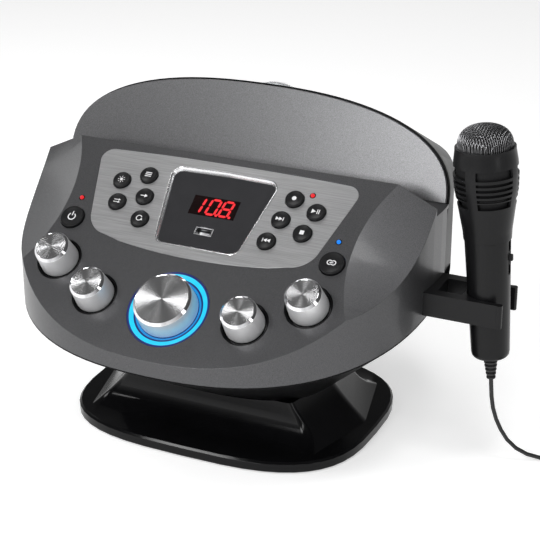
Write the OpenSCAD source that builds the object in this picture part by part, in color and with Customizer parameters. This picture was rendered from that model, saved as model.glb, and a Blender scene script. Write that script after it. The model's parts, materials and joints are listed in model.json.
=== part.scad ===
/* [Body] */
// Half of the body's width at its widest
body_half_width = 155; // [150:1:160]
// Depth of the body's plan in front of its middle
front_reach = 147; // [143:1:150]
// Depth of the body's plan behind its middle
rear_reach = 147; // [144:1:150]
// How far the plan's middle lies behind the pedestal's middle
plan_shift = 10; // [8:1:12]
// Squareness of the plan's front half, 2 being an ellipse
front_squareness = 2.4; // [2.3:0.05:2.5]
// Squareness of the plan's rear half, 2 being an ellipse
rear_squareness = 2.0; // [2:0.05:2.1]
// Wall of the moulded shells
shell_wall = 2.6; // [2.2:0.1:3]
// Slope of the joint between the upper and lower shells
parting_slope = 10.8; // [10:0.2:12]
// Height of that joint over the pedestal's middle
parting_height = 113; // [111:1:115]

/* [Control panel] */
// Slope of the control panel
panel_slope = 36.65; // [36:0.05:37.5]
// Height of the knob line above the table
panel_height = 124.5; // [123:0.5:126]
// Knob line's distance in front of the pedestal's middle
panel_forward = 101.6; // [100:0.2:103]
// Length of the slope from the knob line to the panel's rear edge
panel_run = 124.5; // [122:0.5:127]
// Radius of the dished shoulder at each side of the panel
shoulder_radius = 117; // [114:1:120]
// Distance of the shoulder's middle from the panel's middle
shoulder_offset = 229; // [227:1:232]
// Shoulder's middle above the knob line
shoulder_up = 68; // [64:1:72]
// Fall of the shoulder for each millimetre outwards
shoulder_fall = 0.38; // [0.35:0.01:0.41]

/* [Tablet rest] */
// Width of the slot that the tablet stands in
slot_width = 25.3; // [24:0.1:27]
// Depth of that slot below the panel's rear edge
slot_depth = 18.8; // [17:0.1:20]
// Lean of the rest from the vertical
rest_lean = 20; // [18:0.5:22]
// Height of the rest along its face
rest_height = 65; // [62:0.5:68]
// Half of the rest's width
rest_half_width = 152; // [148:0.5:153]
// Squareness of the rest's outline
rest_squareness = 2.4; // [2.3:0.05:2.5]
// Thickness of the rest's plate
rest_thickness = 3; // [2.5:0.1:3.5]
// Border of the rear shell that shows round the rest
rest_border = 1.5; // [1:0.1:2]

/* [Rear shell] */
// Height of the rear deck's edge above the table
deck_height = 181; // [179:0.5:184]
// Half of the width of the deck's rear edge
deck_half_width = 136; // [132:1:140]

/* [Pedestal] */
// Half of the base plate's width
plate_half_width = 114.8; // [112:0.2:118]
// Half of the base plate's depth
plate_half_depth = 90.3; // [88:0.1:93]
// Squareness of the base plate's outline
plate_squareness = 3.1; // [2.8:0.05:3.4]
// Thickness of the base plate at its rim
plate_thickness = 7.5; // [6.5:0.1:8.5]
// Half of the neck's front width at its top
neck_front_half = 68; // [66:0.5:69]
// Half of the neck's greatest width at its top
neck_side_half = 78; // [76:0.5:80]
// Half of the neck's depth at its top
neck_half_depth = 48; // [46:0.5:50]
// Height of the neck's top above the table
neck_top = 38; // [37:0.2:40]
// How far the neck's foot spreads, as shares of its width and depth
neck_spread = [0.35, 0.33];
// Thickness of the non-slip pad under the base
pad_thickness = 1.5; // [1.2:0.1:2]

/* [Trim plate and display] */
// Thickness of the brushed trim plate
trim_thickness = 1; // [0.8:0.1:1.2]
// Depth of the display window below the trim plate
window_depth = 3; // [2.5:0.1:3.5]
// Width of the display's digit window
digit_window_width = 36; // [34:0.5:38]
// Height of the display's digit window
digit_window_height = 16; // [15:0.5:17]
// Inner width of the USB socket
usb_width = 12.5; // [12.4:0.1:13]
// Inner height of the USB socket
usb_height = 5.1; // [5.0:0.1:5.4]

/* [Buttons] */
// Radius of the small buttons' holes
small_button_hole = 7; // [6.8:0.1:7.4]
// Radius of the two large buttons' holes
large_button_hole = 9.3; // [9:0.1:9.6]
// Gap round each button
button_gap = 0.4; // [0.3:0.05:0.6]
// Height of the buttons above the surface round them
button_rise = 2; // [1.8:0.1:2.4]
// Travel of the buttons
button_travel = 1.2; // [1:0.1:1.4]

/* [Knobs] */
// Radius of a small knob at its foot
small_knob_foot = 14; // [13.6:0.1:14.4]
// Radius of a small knob's top
small_knob_top = 12.7; // [12.3:0.1:13.1]
// Height of the small knobs above the panel
small_knob_rise = 16.8; // [16:0.1:17.6]
// Radius of the black well round each small knob
small_well = 16.6; // [16.2:0.1:17]
// Radius of the master knob at its foot
master_foot = 21.6; // [21:0.1:22]
// Radius of the master knob's top
master_top = 20.8; // [20.2:0.1:20.9]
// Height of the master knob above the panel
master_rise = 13.6; // [13:0.1:14.2]
// Radius of the light ring round the master knob
light_ring_radius = 29.5; // [29:0.1:30]
// Radius of the control shafts
shaft_radius = 3; // [2.9:0.05:3.1]
// Turning clearance of the control shafts
shaft_clearance = 0.08; // [0.05:0.01:0.1]

/* [Disc drive] */
// Radius of the recess for a disc
disc_recess_radius = 60.6; // [60.4:0.1:61]
// Depth of that recess
disc_recess_depth = 2.2; // [2:0.1:2.6]
// Width of the tray
tray_width = 132; // [130:0.5:133]
// Thickness of the tray
tray_thickness = 6; // [5.5:0.1:6.5]
// Height of the tray's underside above the table
tray_height = 150; // [149.5:0.1:150.5]
// Disc's middle in front of the rear wall
disc_from_back = 72; // [71:0.5:73]
// Height of the tray's face
tray_face_height = 21; // [20:0.5:22]
// Half width of the tray's face
tray_face_half = 69; // [68.5:0.1:69.5]
// Gap round the tray's face
tray_gap = 0.5; // [0.4:0.05:0.7]
// Radius of the turntable
turntable_radius = 14; // [13.5:0.1:14.5]
// Pitch radius of the loading gear
loading_gear_radius = 10; // [10:1:10]

/* [Light dome] */
// Radius of the clear dome where it meets the deck
dome_radius = 22; // [21:0.2:23]
// Height of the dome above the deck
dome_rise = 8; // [7:0.2:9]
// Dome's middle behind the pedestal's middle
dome_back = 76; // [74:0.5:78]

/* [Microphone] */
// Foot of the microphone's handle: X, Y and Z
mic_foot = [198, -1, 84];
// Lean of the microphone towards the body
mic_lean = 4.6; // [4:0.1:5]
// Length of the handle
handle_length = 87; // [86:0.5:88]
// Radius of the handle's foot
handle_foot = 13.4; // [13.2:0.1:13.6]
// Radius of the handle's top
handle_top = 15.8; // [15.6:0.1:16]
// Height of the head above the handle
head_length = 64.5; // [64:0.5:65]
// Radius of the head at its widest
head_radius = 22.2; // [21.8:0.1:22.4]
// Radius of the mesh at the head's rim
mesh_radius = 19.6; // [19.4:0.1:19.8]
// Rise of the domed mesh
mesh_rise = 14.5; // [14:0.1:15]
// Length of the ribbed strain relief
relief_length = 18; // [18:1:18]
// Travel of the microphone's switch to each side
switch_travel = 2.5; // [2:0.1:2.8]

/* [Microphone holder] */
// Height of the holder's prongs
prong_height = 17; // [16:0.2:18]
// Thickness of the prongs
prong_thickness = 4.2; // [3.8:0.1:4.6]
// Gap between a prong and the handle
prong_gap = 0.3; // [0.3:0.05:0.5]
// Middle of the prongs above the handle's foot
prong_up = 38; // [37:0.5:39]

/* [Microphone lead] */
// Diameter of the lead
lead_diameter = 3; // [3:1:3]
// Radius of the coil's first turn
coil_radius = 25; // [25:1:25]
// Step from one turn of the coil to the next, across and up
coil_step = [3.5, 3.45];
// Middle of the coil on the table
coil_middle = [290, 0];
// Length of the plug's barrel
plug_barrel_length = 34; // [33:0.5:35]
// Radius of the plug's pin, a 6.35 mm jack
plug_pin_radius = 3.17; // [3.15:0.01:3.2]

/* [Sockets] */
// Radius of the microphone sockets
mic_socket_radius = 3.25; // [3.25:0.05:3.4]
// Radius of the line sockets
line_socket_radius = 1.8; // [1.75:0.05:1.9]
// Half of the socket panel's width
socket_panel_half = 48; // [47:0.5:49]
// Lower and upper edges of the socket panel
socket_panel_span = [80, 114];

/* [Speakers] */
// Radius of the speaker openings
speaker_radius = 28; // [27:0.5:29]
// Middle of each speaker: out from the pedestal's middle, behind it, and up
speaker_middle = [118, -3.5, 75];

/* [Hidden] */
// Smoothness of round parts
$fn = 64;
// Reach of the blocks that cut a shell along a plane
far = 400;
// A cut runs this far past the face that it opens
past = 1;
// Clearance between neighbouring fixed parts
seat = 0.2;
// Points of the plan outline and of the smaller outlines
plan_points = 96;
outline_points = 48;

// Panel's rear edge
rear_edge_y = -panel_forward + panel_run * cos(panel_slope);
rear_edge_z = panel_height + panel_run * sin(panel_slope);
// Foot of the tablet rest, on the slot's floor
slot_floor = rear_edge_z - slot_depth;
rest_foot_y = rear_edge_y + slot_width;

// Superellipse points from angle a0 to a1
function superellipse(a, b, n, a0 = 0, a1 = 360, steps = 48) =
    [for (i = [0:steps - (a1 - a0 == 360 ? 1 : 0)])
        let (t = a0 + (a1 - a0) * i / steps, c = cos(t), s = sin(t))
        [a * sign(c) * pow(abs(c), 2 / n), b * sign(s) * pow(abs(s), 2 / n)]];
// Arc points round a middle
function arc(middle, radius, a0, a1, steps = 8) =
    [for (i = [0:steps]) let (t = a0 + (a1 - a0) * i / steps)
        [middle[0] + radius * cos(t), middle[1] + radius * sin(t)]];
// The body's plan, drawn in by inset
function plan(inset = 0) =
    [for (i = [0:plan_points - 1])
        let (t = 360 * i / plan_points, c = cos(t), s = sin(t),
             front = s < 0, n = front ? front_squareness : rear_squareness,
             b = (front ? front_reach : rear_reach) - inset)
        [(body_half_width - inset) * sign(c) * pow(abs(c), 2 / n),
         plan_shift + b * sign(s) * pow(abs(s), 2 / n)]];
// Mirror image of a right half outline, joined to it
function whole(half) = concat(half, [for (i = [len(half) - 2:-1:1]) [-half[i][0], half[i][1]]]);
// Outline set at a height, with its width and depth scaled
function ring_at(outline, z, share = [1, 1]) = [for (p = outline) [p[0] * share[0], p[1] * share[1], z]];
// Solid through rings of equally many points, from the lowest ring up
module loft(rings) {
    n = len(rings[0]);
    top = len(rings) - 1;
    polyhedron([for (ring = rings, p = ring) p], concat(
        [[for (k = [0:n - 1]) k]], [[for (k = [n - 1:-1:0]) top * n + k]],
        [for (i = [0:top - 1], k = [0:n - 1]) [i * n + k, (i + 1) * n + k, (i + 1) * n + (k + 1) % n]],
        [for (i = [0:top - 1], k = [0:n - 1]) [i * n + k, (i + 1) * n + (k + 1) % n, i * n + (k + 1) % n]]));
}

// Places children on the control panel: across, up the slope and proud of it
module on_panel(u, v, h = 0)
    translate([u, -panel_forward + v * cos(panel_slope) - h * sin(panel_slope),
               panel_height + v * sin(panel_slope) + h * cos(panel_slope)])
        rotate([panel_slope, 0, 0])
            children();
module below_panel(h = 0) on_panel(0, 0, h) translate([-far, -far, -far]) cube([2 * far, 2 * far, far]);
module above_parting(h = 0)
    translate([0, 0, parting_height + h]) rotate([parting_slope, 0, 0])
        translate([-far, -far, 0]) cube([2 * far, 2 * far, far]);
module plan_block(inset = 0) linear_extrude(height = far) polygon(plan(inset));
// Places children on the tablet rest's face: across, up the face and in front of it
module on_rest(u, s, h = 0)
    translate([u, rest_foot_y + s * sin(rest_lean) - h * cos(rest_lean),
               slot_floor + s * cos(rest_lean) + h * sin(rest_lean)])
        rotate([90 - rest_lean, 0, 0])
            children();
// Places children along the microphone's axis, Z running up it
module on_mic(s) translate(mic_foot) rotate([0, -mic_lean, 0]) translate([0, 0, s]) children();

// Places of the controls on the panel: across and up from the knob line
mic_knob_place = [96.7, 19.2];
tone_knob_place = [58, -2.4];
master_place = [0, -2.8];
large_button_place = [101.6, 54];
inner_column = [[57.7, 98.9], [53.7, 80.8], [49.7, 62.2]];
outer_column = [[76.8, 91.2], [72.9, 73]];
battery_lamp_place = [-101.9, 71.6];
record_lamp_place = [69.3, 104.5];
pair_lamp_place = [100.3, 71.6];
lamp_radius = 1.5;
digit_place = [0, 83.6];
usb_place = [0, 63];
// Every button: across, up, and radius of its hole
function button_place(name) =
    name == "power" ? [-large_button_place[0], large_button_place[1], large_button_hole] :
    name == "pair" ? [large_button_place[0], large_button_place[1], large_button_hole] :
    name == "lights" ? [-outer_column[0][0], outer_column[0][1], small_button_hole] :
    name == "mode" ? [-inner_column[0][0], inner_column[0][1], small_button_hole] :
    name == "random" ? [-outer_column[1][0], outer_column[1][1], small_button_hole] :
    name == "skip" ? [-inner_column[1][0], inner_column[1][1], small_button_hole] :
    name == "repeat" ? [-inner_column[2][0], inner_column[2][1], small_button_hole] :
    name == "record" ? [inner_column[0][0], inner_column[0][1], small_button_hole] :
    name == "play" ? [outer_column[0][0], outer_column[0][1], small_button_hole] :
    name == "next" ? [inner_column[1][0], inner_column[1][1], small_button_hole] :
    name == "stop" ? [outer_column[1][0], outer_column[1][1], small_button_hole] :
    [inner_column[2][0], inner_column[2][1], small_button_hole];
plate_buttons = ["lights", "mode", "random", "skip", "repeat", "record", "play", "next", "stop", "previous"];
large_buttons = ["power", "pair"];
small_knob_places = [[-mic_knob_place[0], mic_knob_place[1]], [-tone_knob_place[0], tone_knob_place[1]],
                     tone_knob_place, mic_knob_place];
lamp_places = [battery_lamp_place, record_lamp_place, pair_lamp_place];

// Trim plate's outline, drawn in by inset
trim_corner = 9;
trim_corner_place = [92.8, 108.2];
trim_shoulder = 20;
trim_shoulder_place = [70, 65.5];
trim_foot_sag = 6.6;
trim_foot = 38;
trim_head_bow = 1.8;
function trim_outline(inset = 0) = whole(concat(
    [[0, trim_foot + inset]],
    [for (i = [1:5]) let (x = trim_shoulder_place[0] * i / 6)
        [x, trim_foot + inset + trim_foot_sag * pow(x / trim_shoulder_place[0], 2) * 0.9]],
    arc(trim_shoulder_place, trim_shoulder - inset, -84, -20),
    arc(trim_corner_place, trim_corner - inset, -18, 88),
    [for (i = [5:-1:1]) let (x = trim_corner_place[0] * i / 6)
        [x, trim_corner_place[1] + trim_corner - inset
            + trim_head_bow * (1 - pow(x / trim_corner_place[0], 2))]]));
// Display window's outline, drawn in by inset
window_corner = 8;
window_head_place = [34, 103.6];
window_foot_place = [26, 54.5];
function window_outline(inset = 0) = whole(concat(
    [[0, window_foot_place[1] - window_corner + inset]],
    arc(window_foot_place, window_corner - inset, -90, -10),
    arc(window_head_place, window_corner - inset, -8, 88),
    [[0, window_head_place[1] + window_corner - inset + 0.8]]));
module panel_prism(outline, h0, h1)
    on_panel(0, 0, h0) linear_extrude(height = h1 - h0) polygon(outline);

// Dished cut that lowers the panel's shoulders, sunk by drop
shoulder_reach = 24;
module shoulder_cut(drop = 0)
    for (side = [0, 1]) mirror([side, 0, 0])
        on_panel(shoulder_offset, shoulder_up, -drop - shoulder_reach)
            cylinder(h = 2 * shoulder_reach, r1 = shoulder_radius - shoulder_reach / shoulder_fall,
                     r2 = shoulder_radius + shoulder_reach / shoulder_fall, $fn = 96);

/* Pedestal and base */
plate_foot = pad_thickness;
plate_top = plate_foot + plate_thickness;
plate_bevel = 1.5;
cover_thickness = 2.5;
pedestal_wall = 3;
neck_steps = 6;
// Neck outline at a height share of 0 at the foot to 1 at the top
function neck_scale(f) = [1 + neck_spread[0] * pow(1 - f, 1.2), 1 + neck_spread[1] * pow(1 - f, 5)];
function ratio(p, q) = [p[0] / q[0], p[1] / q[1]];
function neck_outline(inset = 0) = let (corner = 5) whole(concat(
    [[0, -neck_half_depth + inset]],
    arc([neck_front_half - corner, -neck_half_depth + corner], corner - inset, -90, -13, 4),
    arc([neck_side_half - 14, 0], 14 - inset, -13, 13, 6),
    arc([neck_front_half - corner, neck_half_depth - corner], corner - inset, 13, 90, 4),
    [[0, neck_half_depth - inset]]));
module neck() loft(concat([ring_at(neck_outline(), plate_top - past, neck_scale(0))],
    [for (i = [0:neck_steps]) let (f = i / neck_steps)
        ring_at(neck_outline(), plate_top + (neck_top - plate_top) * f, neck_scale(f))]));
function plate_outline(inset) = superellipse(plate_half_width - inset, plate_half_depth - inset,
                                             plate_squareness, steps = outline_points);
module plate_prism(inset, z0, z1)
    translate([0, 0, z0]) linear_extrude(height = z1 - z0) polygon(plate_outline(inset));
module pedestal() color([0.03, 0.03, 0.035]) {
    difference() {
        union() {
            loft([ring_at(plate_outline(0), plate_foot), ring_at(plate_outline(0), plate_top - plate_bevel),
                  ring_at(plate_outline(plate_bevel), plate_top)]);
            neck();
        }
        plate_prism(pedestal_wall, plate_foot - past, plate_top - pedestal_wall);
        translate([0, 0, plate_top - pedestal_wall - past])
            linear_extrude(height = neck_top - plate_top + past)
                polygon(neck_outline(pedestal_wall));
        for (x = [-1, 1], y = [-1, 1])
            translate([x * neck_screw_place[0], y * neck_screw_place[1], neck_top - far / 4])
                cylinder(h = far, r = screw_radius + seat, $fn = 32);
    }
}
neck_screw_place = [52, 28];
screw_radius = 1.5;
screw_head = 3;
module base_cover() color([0.1, 0.1, 0.1]) difference() {
    plate_prism(pedestal_wall + seat, plate_foot, plate_foot + cover_thickness);
    for (x = [-1, 1], y = [-1, 1])
        translate([x * cover_screw_place[0], y * cover_screw_place[1], 0]) {
            cylinder(h = far, r = screw_radius + seat, $fn = 32);
            cylinder(h = plate_foot + screw_head_depth, r = screw_head + seat, $fn = 32);
        }
}
cover_screw_place = [84, 56];
screw_head_depth = 1.2;
module base_pad() color([0.07, 0.07, 0.07]) difference() {
    plate_prism(pad_margin, 0, pad_thickness);
    for (x = [-1, 1], y = [-1, 1])
        translate([x * cover_screw_place[0], y * cover_screw_place[1], -past])
            cylinder(h = far, r = screw_head + 1, $fn = 32);
}
pad_margin = 4;

/* Shells */
// How far the lower shell's flat foot reaches past the neck, across and in depth
bowl_foot_margin = [3, 9];
bowl_foot_half = neck_side_half + bowl_foot_margin[0];
bowl_foot_depth = neck_half_depth + bowl_foot_margin[1];
// The lower shell's outer form, drawn in by inset
module bowl(inset = 0) hull() {
    intersection() {
        plan_block(inset);
        above_parting(-1);
        difference() { plan_block(inset); above_parting(0); }
    }
    translate([0, 0, neck_top + inset])
        linear_extrude(height = 1)
            polygon(superellipse(bowl_foot_half - inset, bowl_foot_depth - inset, 2.6,
                                 steps = outline_points));
}
crown_depth = plan_shift + rear_reach;
chassis_posts = [[60, crown_depth - 155], [60, crown_depth - 31]];
post_radius = 4;
board_posts = [[44, -46], [44, 34]];
board_height = 66;
module lower_shell() color([0.05, 0.05, 0.055]) difference() {
    union() {
        difference() {
            bowl();
            translate([0, 0, 0.01]) bowl(shell_wall);
        }
        intersection() {
            bowl(shell_wall - 0.5);
            union() {
                for (x = [-1, 1], p = chassis_posts)
                    translate([x * p[0], p[1], neck_top])
                        cylinder(h = chassis_height - neck_top, r = post_radius, $fn = 32);
                for (x = [-1, 1], p = board_posts)
                    translate([x * p[0], p[1], neck_top])
                        cylinder(h = board_height - neck_top, r = post_radius, $fn = 32);
            }
        }
    }
    above_parting(0);
    tray_opening();
    speaker_slots();
    translate([-socket_panel_half - seat, socket_face_y - shell_wall - seat, socket_panel_span[0] - seat])
        cube([2 * (socket_panel_half + seat), far,
              socket_panel_span[1] - socket_panel_span[0] + 2 * seat]);
    for (x = [-1, 1], y = [-1, 1])
        translate([x * neck_screw_place[0], y * neck_screw_place[1], 0])
            cylinder(h = neck_top + 2 * shell_wall, r = screw_radius + seat, $fn = 32);
}
// Outward slope of the bowl's side at the speakers
speaker_turn = 90 + atan2(parting_height - neck_top, body_half_width - bowl_foot_half);
module at_speaker() for (side = [0, 1]) mirror([side, 0, 0])
    translate(speaker_middle) rotate([0, speaker_turn, 0]) children();
slot_count = 7;
slot_pitch = 7.4;
slot_gap = 3.4;
module speaker_slots() at_speaker()
    for (i = [0:slot_count - 1])
        let (y = (i - (slot_count - 1) / 2) * slot_pitch,
             half = sqrt(pow(speaker_radius, 2) - pow(y, 2)) - 2)
        translate([-half, y - slot_gap / 2, -6]) cube([2 * half, slot_gap, 30]);
// Back wall of the socket recess
socket_face_y = 106;

split_y = rest_foot_y + 0.4;
module top_form(inset = 0) difference() {
    intersection() {
        plan_block(inset);
        below_panel(-inset);
        above_parting(-inset * 4);
        translate([-far, -far, 0]) cube([2 * far, far + split_y, far]);
    }
    shoulder_cut(inset);
    translate([-far, rear_edge_y - inset, slot_floor - inset]) cube([2 * far, far, far]);
}
module control_holes() {
    for (name = concat(plate_buttons, large_buttons)) let (p = button_place(name))
        on_panel(p[0], p[1], -shell_wall * 3) cylinder(h = shell_wall * 5, r = p[2]);
    for (p = small_knob_places)
        on_panel(p[0], p[1], -shell_wall * 3) cylinder(h = shell_wall * 5, r = small_well + seat);
    on_panel(master_place[0], master_place[1], -shell_wall * 3)
        cylinder(h = shell_wall * 5, r = light_ring_radius + seat);
    for (p = lamp_places)
        on_panel(p[0], p[1], -shell_wall * 3) cylinder(h = shell_wall * 5, r = lamp_radius + seat, $fn = 32);
}
// Room for the large buttons' flanges, where the shoulders' wall comes near
module flange_room() for (name = large_buttons) let (p = button_place(name))
    on_panel(p[0], p[1], -control_board_drop)
        cylinder(h = control_board_drop - shell_wall, r = p[2] + button_flange_rim + button_gap);
board_boss = [[78, -16], [113, 38], [100, 98]];
boss_radius = 3.5;
control_board_drop = 16;
module top_shell() color([0.3, 0.3, 0.31]) difference() {
    union() {
        difference() {
            top_form();
            difference() { top_form(shell_wall); translate([-far, split_y - 0.01, 0]) cube(2 * far); }
            translate([-far, split_y - shell_wall - past, 0]) cube([2 * far, far, slot_floor - shell_wall]);
        }
        intersection() {
            top_form(shell_wall / 2);
            for (x = [-1, 1], p = board_boss)
                on_panel(x * p[0], p[1], -control_board_drop)
                    cylinder(h = control_board_drop, r = boss_radius, $fn = 32);
        }
    }
    control_holes();
    flange_room();
    panel_prism(trim_outline(-seat), -trim_thickness, shell_wall);
    panel_prism(window_outline(-seat), -shell_wall * 2, shell_wall);
}
// The rear shell's crown, drawn in by inset, spans two thin slices
slice = 1;
module crown(inset = 0) hull() {
    on_rest(0, 0, -rest_thickness - slice)
        linear_extrude(height = slice)
            polygon(concat(superellipse(rest_half_width + rest_border - inset,
                                        rest_height + rest_border - inset, rest_squareness, 0, 180,
                                        outline_points),
                           [[-rest_half_width, -90], [rest_half_width, -90]]));
    translate([0, crown_depth + slice, 0]) rotate([90, 0, 0])
        linear_extrude(height = slice)
            polygon(concat([for (p = superellipse(deck_half_width - inset, 36, rest_squareness, 0, 180, 24))
                                [p[0], deck_height - 36 - inset + p[1]]],
                           [[-deck_half_width + inset, 90], [deck_half_width - inset, 90]]));
}
module rear_form(inset = 0) intersection() {
    plan_block(inset);
    crown(inset);
    above_parting(-4 * inset);
    translate([-far, split_y, 0]) cube([2 * far, far, far]);
}
crest_up = rest_height + rest_border;
crest_back = rest_thickness + slice;
crest_y = rest_foot_y + crest_up * sin(rest_lean) + crest_back * cos(rest_lean);
crest_z = slot_floor + crest_up * cos(rest_lean) - crest_back * sin(rest_lean);
deck_slope = atan2(crest_z - deck_height, crown_depth + slice - crest_y);
module on_dome(h)
    translate([0, dome_back, deck_height + (crown_depth + slice - dome_back) * tan(deck_slope)])
        rotate([-deck_slope, 0, 0]) translate([0, 0, h]) children();
module tray_opening()
    translate([-tray_face_half - tray_gap, crown_depth - 30, face_foot - tray_gap])
        cube([2 * (tray_face_half + tray_gap), far, tray_face_height + 2 * tray_gap]);
module rear_shell() color([0.05, 0.05, 0.055]) difference() {
    rear_form();
    difference() {
        intersection() {
            plan_block(shell_wall);
            crown(shell_wall);
        }
        translate([-far, split_y - far, 0]) cube([2 * far, far - past, far]);
    }
    on_dome(-20) cylinder(h = 40, r = dome_radius + seat);
    tray_opening();
}
module tablet_rest() color([0.42, 0.42, 0.43])
    difference() {
        on_rest(0, 0, -rest_thickness)
            linear_extrude(height = rest_thickness)
                polygon(superellipse(rest_half_width, rest_height, rest_squareness, 0, 180, outline_points));
        translate([-far, -far, 0]) cube([2 * far, 2 * far, slot_floor]);
    }

/* Trim plate, display and lamps */
module trim_plate() color([0.66, 0.66, 0.67]) difference() {
    panel_prism(trim_outline(), -trim_thickness, 0);
    panel_prism(window_outline(), -shell_wall, shell_wall);
    for (name = plate_buttons) let (p = button_place(name))
        on_panel(p[0], p[1], -shell_wall) cylinder(h = 2 * shell_wall, r = p[2]);
    on_panel(record_lamp_place[0], record_lamp_place[1], -shell_wall)
        cylinder(h = 2 * shell_wall, r = lamp_radius + seat, $fn = 32);
}
window_thickness = 2;
module display_window() color([0.08, 0.08, 0.09]) difference() {
    panel_prism(window_outline(), -window_depth - window_thickness, -window_depth);
    on_panel(digit_place[0], digit_place[1], -window_depth - window_thickness - past)
        translate([-digit_window_width / 2, -digit_window_height / 2, 0])
            cube([digit_window_width, digit_window_height, window_thickness + 2 * past]);
    on_panel(usb_place[0], usb_place[1], -window_depth - window_thickness - past)
        translate([-usb_width / 2, -usb_height / 2, 0])
            cube([usb_width, usb_height, window_thickness + 2 * past]);
}
board_face = -control_board_drop;
module display_module() color([0.05, 0.02, 0.02])
    on_panel(digit_place[0], digit_place[1], board_face)
        translate([-digit_window_width / 2 - 1, -digit_window_height / 2 - 1, 0])
            cube([digit_window_width + 2, digit_window_height + 2,
                  control_board_drop - window_depth - window_thickness]);
usb_wall = 0.4;
usb_mouth = 5;
module usb_socket() color([0.6, 0.6, 0.62])
    on_panel(usb_place[0], usb_place[1], board_face) {
        depth = control_board_drop - window_depth - window_thickness;
        difference() {
            translate([-usb_width / 2 - usb_wall, -usb_height / 2 - usb_wall, 0])
                cube([usb_width + 2 * usb_wall, usb_height + 2 * usb_wall, depth]);
            translate([-usb_width / 2, -usb_height / 2, usb_wall])
                cube([usb_width, usb_height, depth]);
        }
        translate([-usb_width / 2 + 0.6, -0.1, usb_wall])
            cube([usb_width - 1.2, 1.9, depth - usb_mouth + window_thickness]);
    }
board_thickness = 1.6;
board_half = 117;
module control_board() color([0.1, 0.3, 0.16]) difference() {
    panel_prism([[-board_half, 14], [-82, -22], [82, -22], [board_half, 14], [board_half, 96],
                 [106, 106], [-106, 106], [-board_half, 96]],
                board_face - board_thickness, board_face);
    for (p = concat(small_knob_places, [master_place]))
        on_panel(p[0], p[1], board_face - 5) cylinder(h = 10, r = shaft_radius + 1, $fn = 32);
}
module indicator_lamps() color([0.8, 0.1, 0.1])
    for (p = lamp_places) on_panel(p[0], p[1], board_face) {
        cylinder(h = control_board_drop + 0.2, r = lamp_radius, $fn = 32);
        translate([0, 0, control_board_drop + 0.2]) intersection() {
            sphere(r = lamp_radius, $fn = 32);
            cylinder(h = lamp_radius, r = lamp_radius + 1, $fn = 32);
        }
    }

/* Buttons and their switches */
button_stop = 0.2;
button_flange = 1.2;
button_flange_rim = 1;
flange_depth = shell_wall + button_stop;
stem_radius = 2;
switch_rise = 4.3;
stem_gap = 0.3;
module button(name) {
    p = button_place(name);
    radius = p[2] - button_gap;
    on_panel(p[0], p[1], 0) color([0.05, 0.05, 0.055]) {
        translate([0, 0, -flange_depth - button_flange])
            cylinder(h = button_flange, r = p[2] + button_flange_rim);
        rotate_extrude()
            polygon(concat([[0, -flange_depth - button_flange / 2],
                            [radius, -flange_depth - button_flange / 2]],
                           arc([radius - 0.8, button_rise - 0.8], 0.8, 0, 70, 4),
                           [[radius * 0.5, button_rise + 0.15], [0, button_rise + 0.25]]));
        stem_foot = board_face + switch_rise + button_travel + stem_gap;
        translate([0, 0, stem_foot])
            cylinder(h = -flange_depth - stem_foot - button_flange / 2, r = stem_radius, $fn = 32);
    }
}
module button_switches() color([0.55, 0.55, 0.55])
    for (name = concat(plate_buttons, large_buttons)) let (p = button_place(name))
        on_panel(p[0], p[1], board_face) {
            translate([-3, -3, 0]) cube([6, 6, switch_rise - 0.8]);
            cylinder(h = switch_rise, r = 1.2, $fn = 32);
        }
module power_button() button("power");
module pair_button() button("pair");
module lights_button() button("lights");
module mode_button() button("mode");
module random_button() button("random");
module skip_button() button("skip");
module repeat_button() button("repeat");
module record_button() button("record");
module play_button() button("play");
module next_button() button("next");
module stop_button() button("stop");
module previous_button() button("previous");

/* Knobs, wells and potentiometers */
well_depth = 3.4;
well_floor = 1.2;
knob_float = 0.6;
knob_foot = -well_depth + well_floor + knob_float;
pot_size = 17;
pot_height = 8;
bushing_radius = 4.6;
// Thickness of a knob over the end of its shaft
shaft_cover = 4;
// One knob with its shaft: foot and top radii, rise above the panel
module knob(foot, top, rise) color([0.78, 0.78, 0.8]) {
    rim = 1.7;
    difference() {
        rotate_extrude($fn = 96)
            polygon([[0, knob_foot], [foot, knob_foot], [foot, knob_foot + 1.2], [top, rise - rim],
                     [top - rim, rise], [0, rise]]);
        translate([0, 0, knob_foot - past])
            cylinder(h = rise - shaft_cover - knob_foot + past, r = shaft_radius, $fn = 48);
    }
    translate([0, 0, board_face + 1])
        cylinder(h = rise - shaft_cover - board_face - 1, r = shaft_radius, $fn = 48);
}
module place_small_knob(i) on_panel(small_knob_places[i][0], small_knob_places[i][1], 0)
    knob(small_knob_foot, small_knob_top, small_knob_rise);
module mic1_knob() place_small_knob(0);
module bass_knob() place_small_knob(1);
module echo_knob() place_small_knob(2);
module mic2_knob() place_small_knob(3);
module master_knob() on_panel(master_place[0], master_place[1], 0)
    knob(master_foot, master_top, master_rise);
module knob_wells() color([0.02, 0.02, 0.02])
    for (p = small_knob_places) on_panel(p[0], p[1], 0) rotate_extrude()
        polygon([[shaft_radius + 1, -well_depth], [small_well, -well_depth], [small_well, 0],
                 [small_well - 0.9, 0], [small_well - 0.9, -well_depth + well_floor],
                 [shaft_radius + 1, -well_depth + well_floor]]);
ring_step = 0.8;
module light_ring() color([0, 0.8, 0.98]) on_panel(master_place[0], master_place[1], 0)
    rotate_extrude($fn = 96)
        polygon([[shaft_radius + 1, -well_depth - 0.4], [light_ring_radius, -well_depth - 0.4],
                 [light_ring_radius, 0], [light_ring_radius - 1, 0], [light_ring_radius - 2, -ring_step],
                 [master_foot + 1.5, -ring_step - 0.6], [master_foot + 1.5, -well_depth + well_floor],
                 [shaft_radius + 1, -well_depth + well_floor]]);
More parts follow.
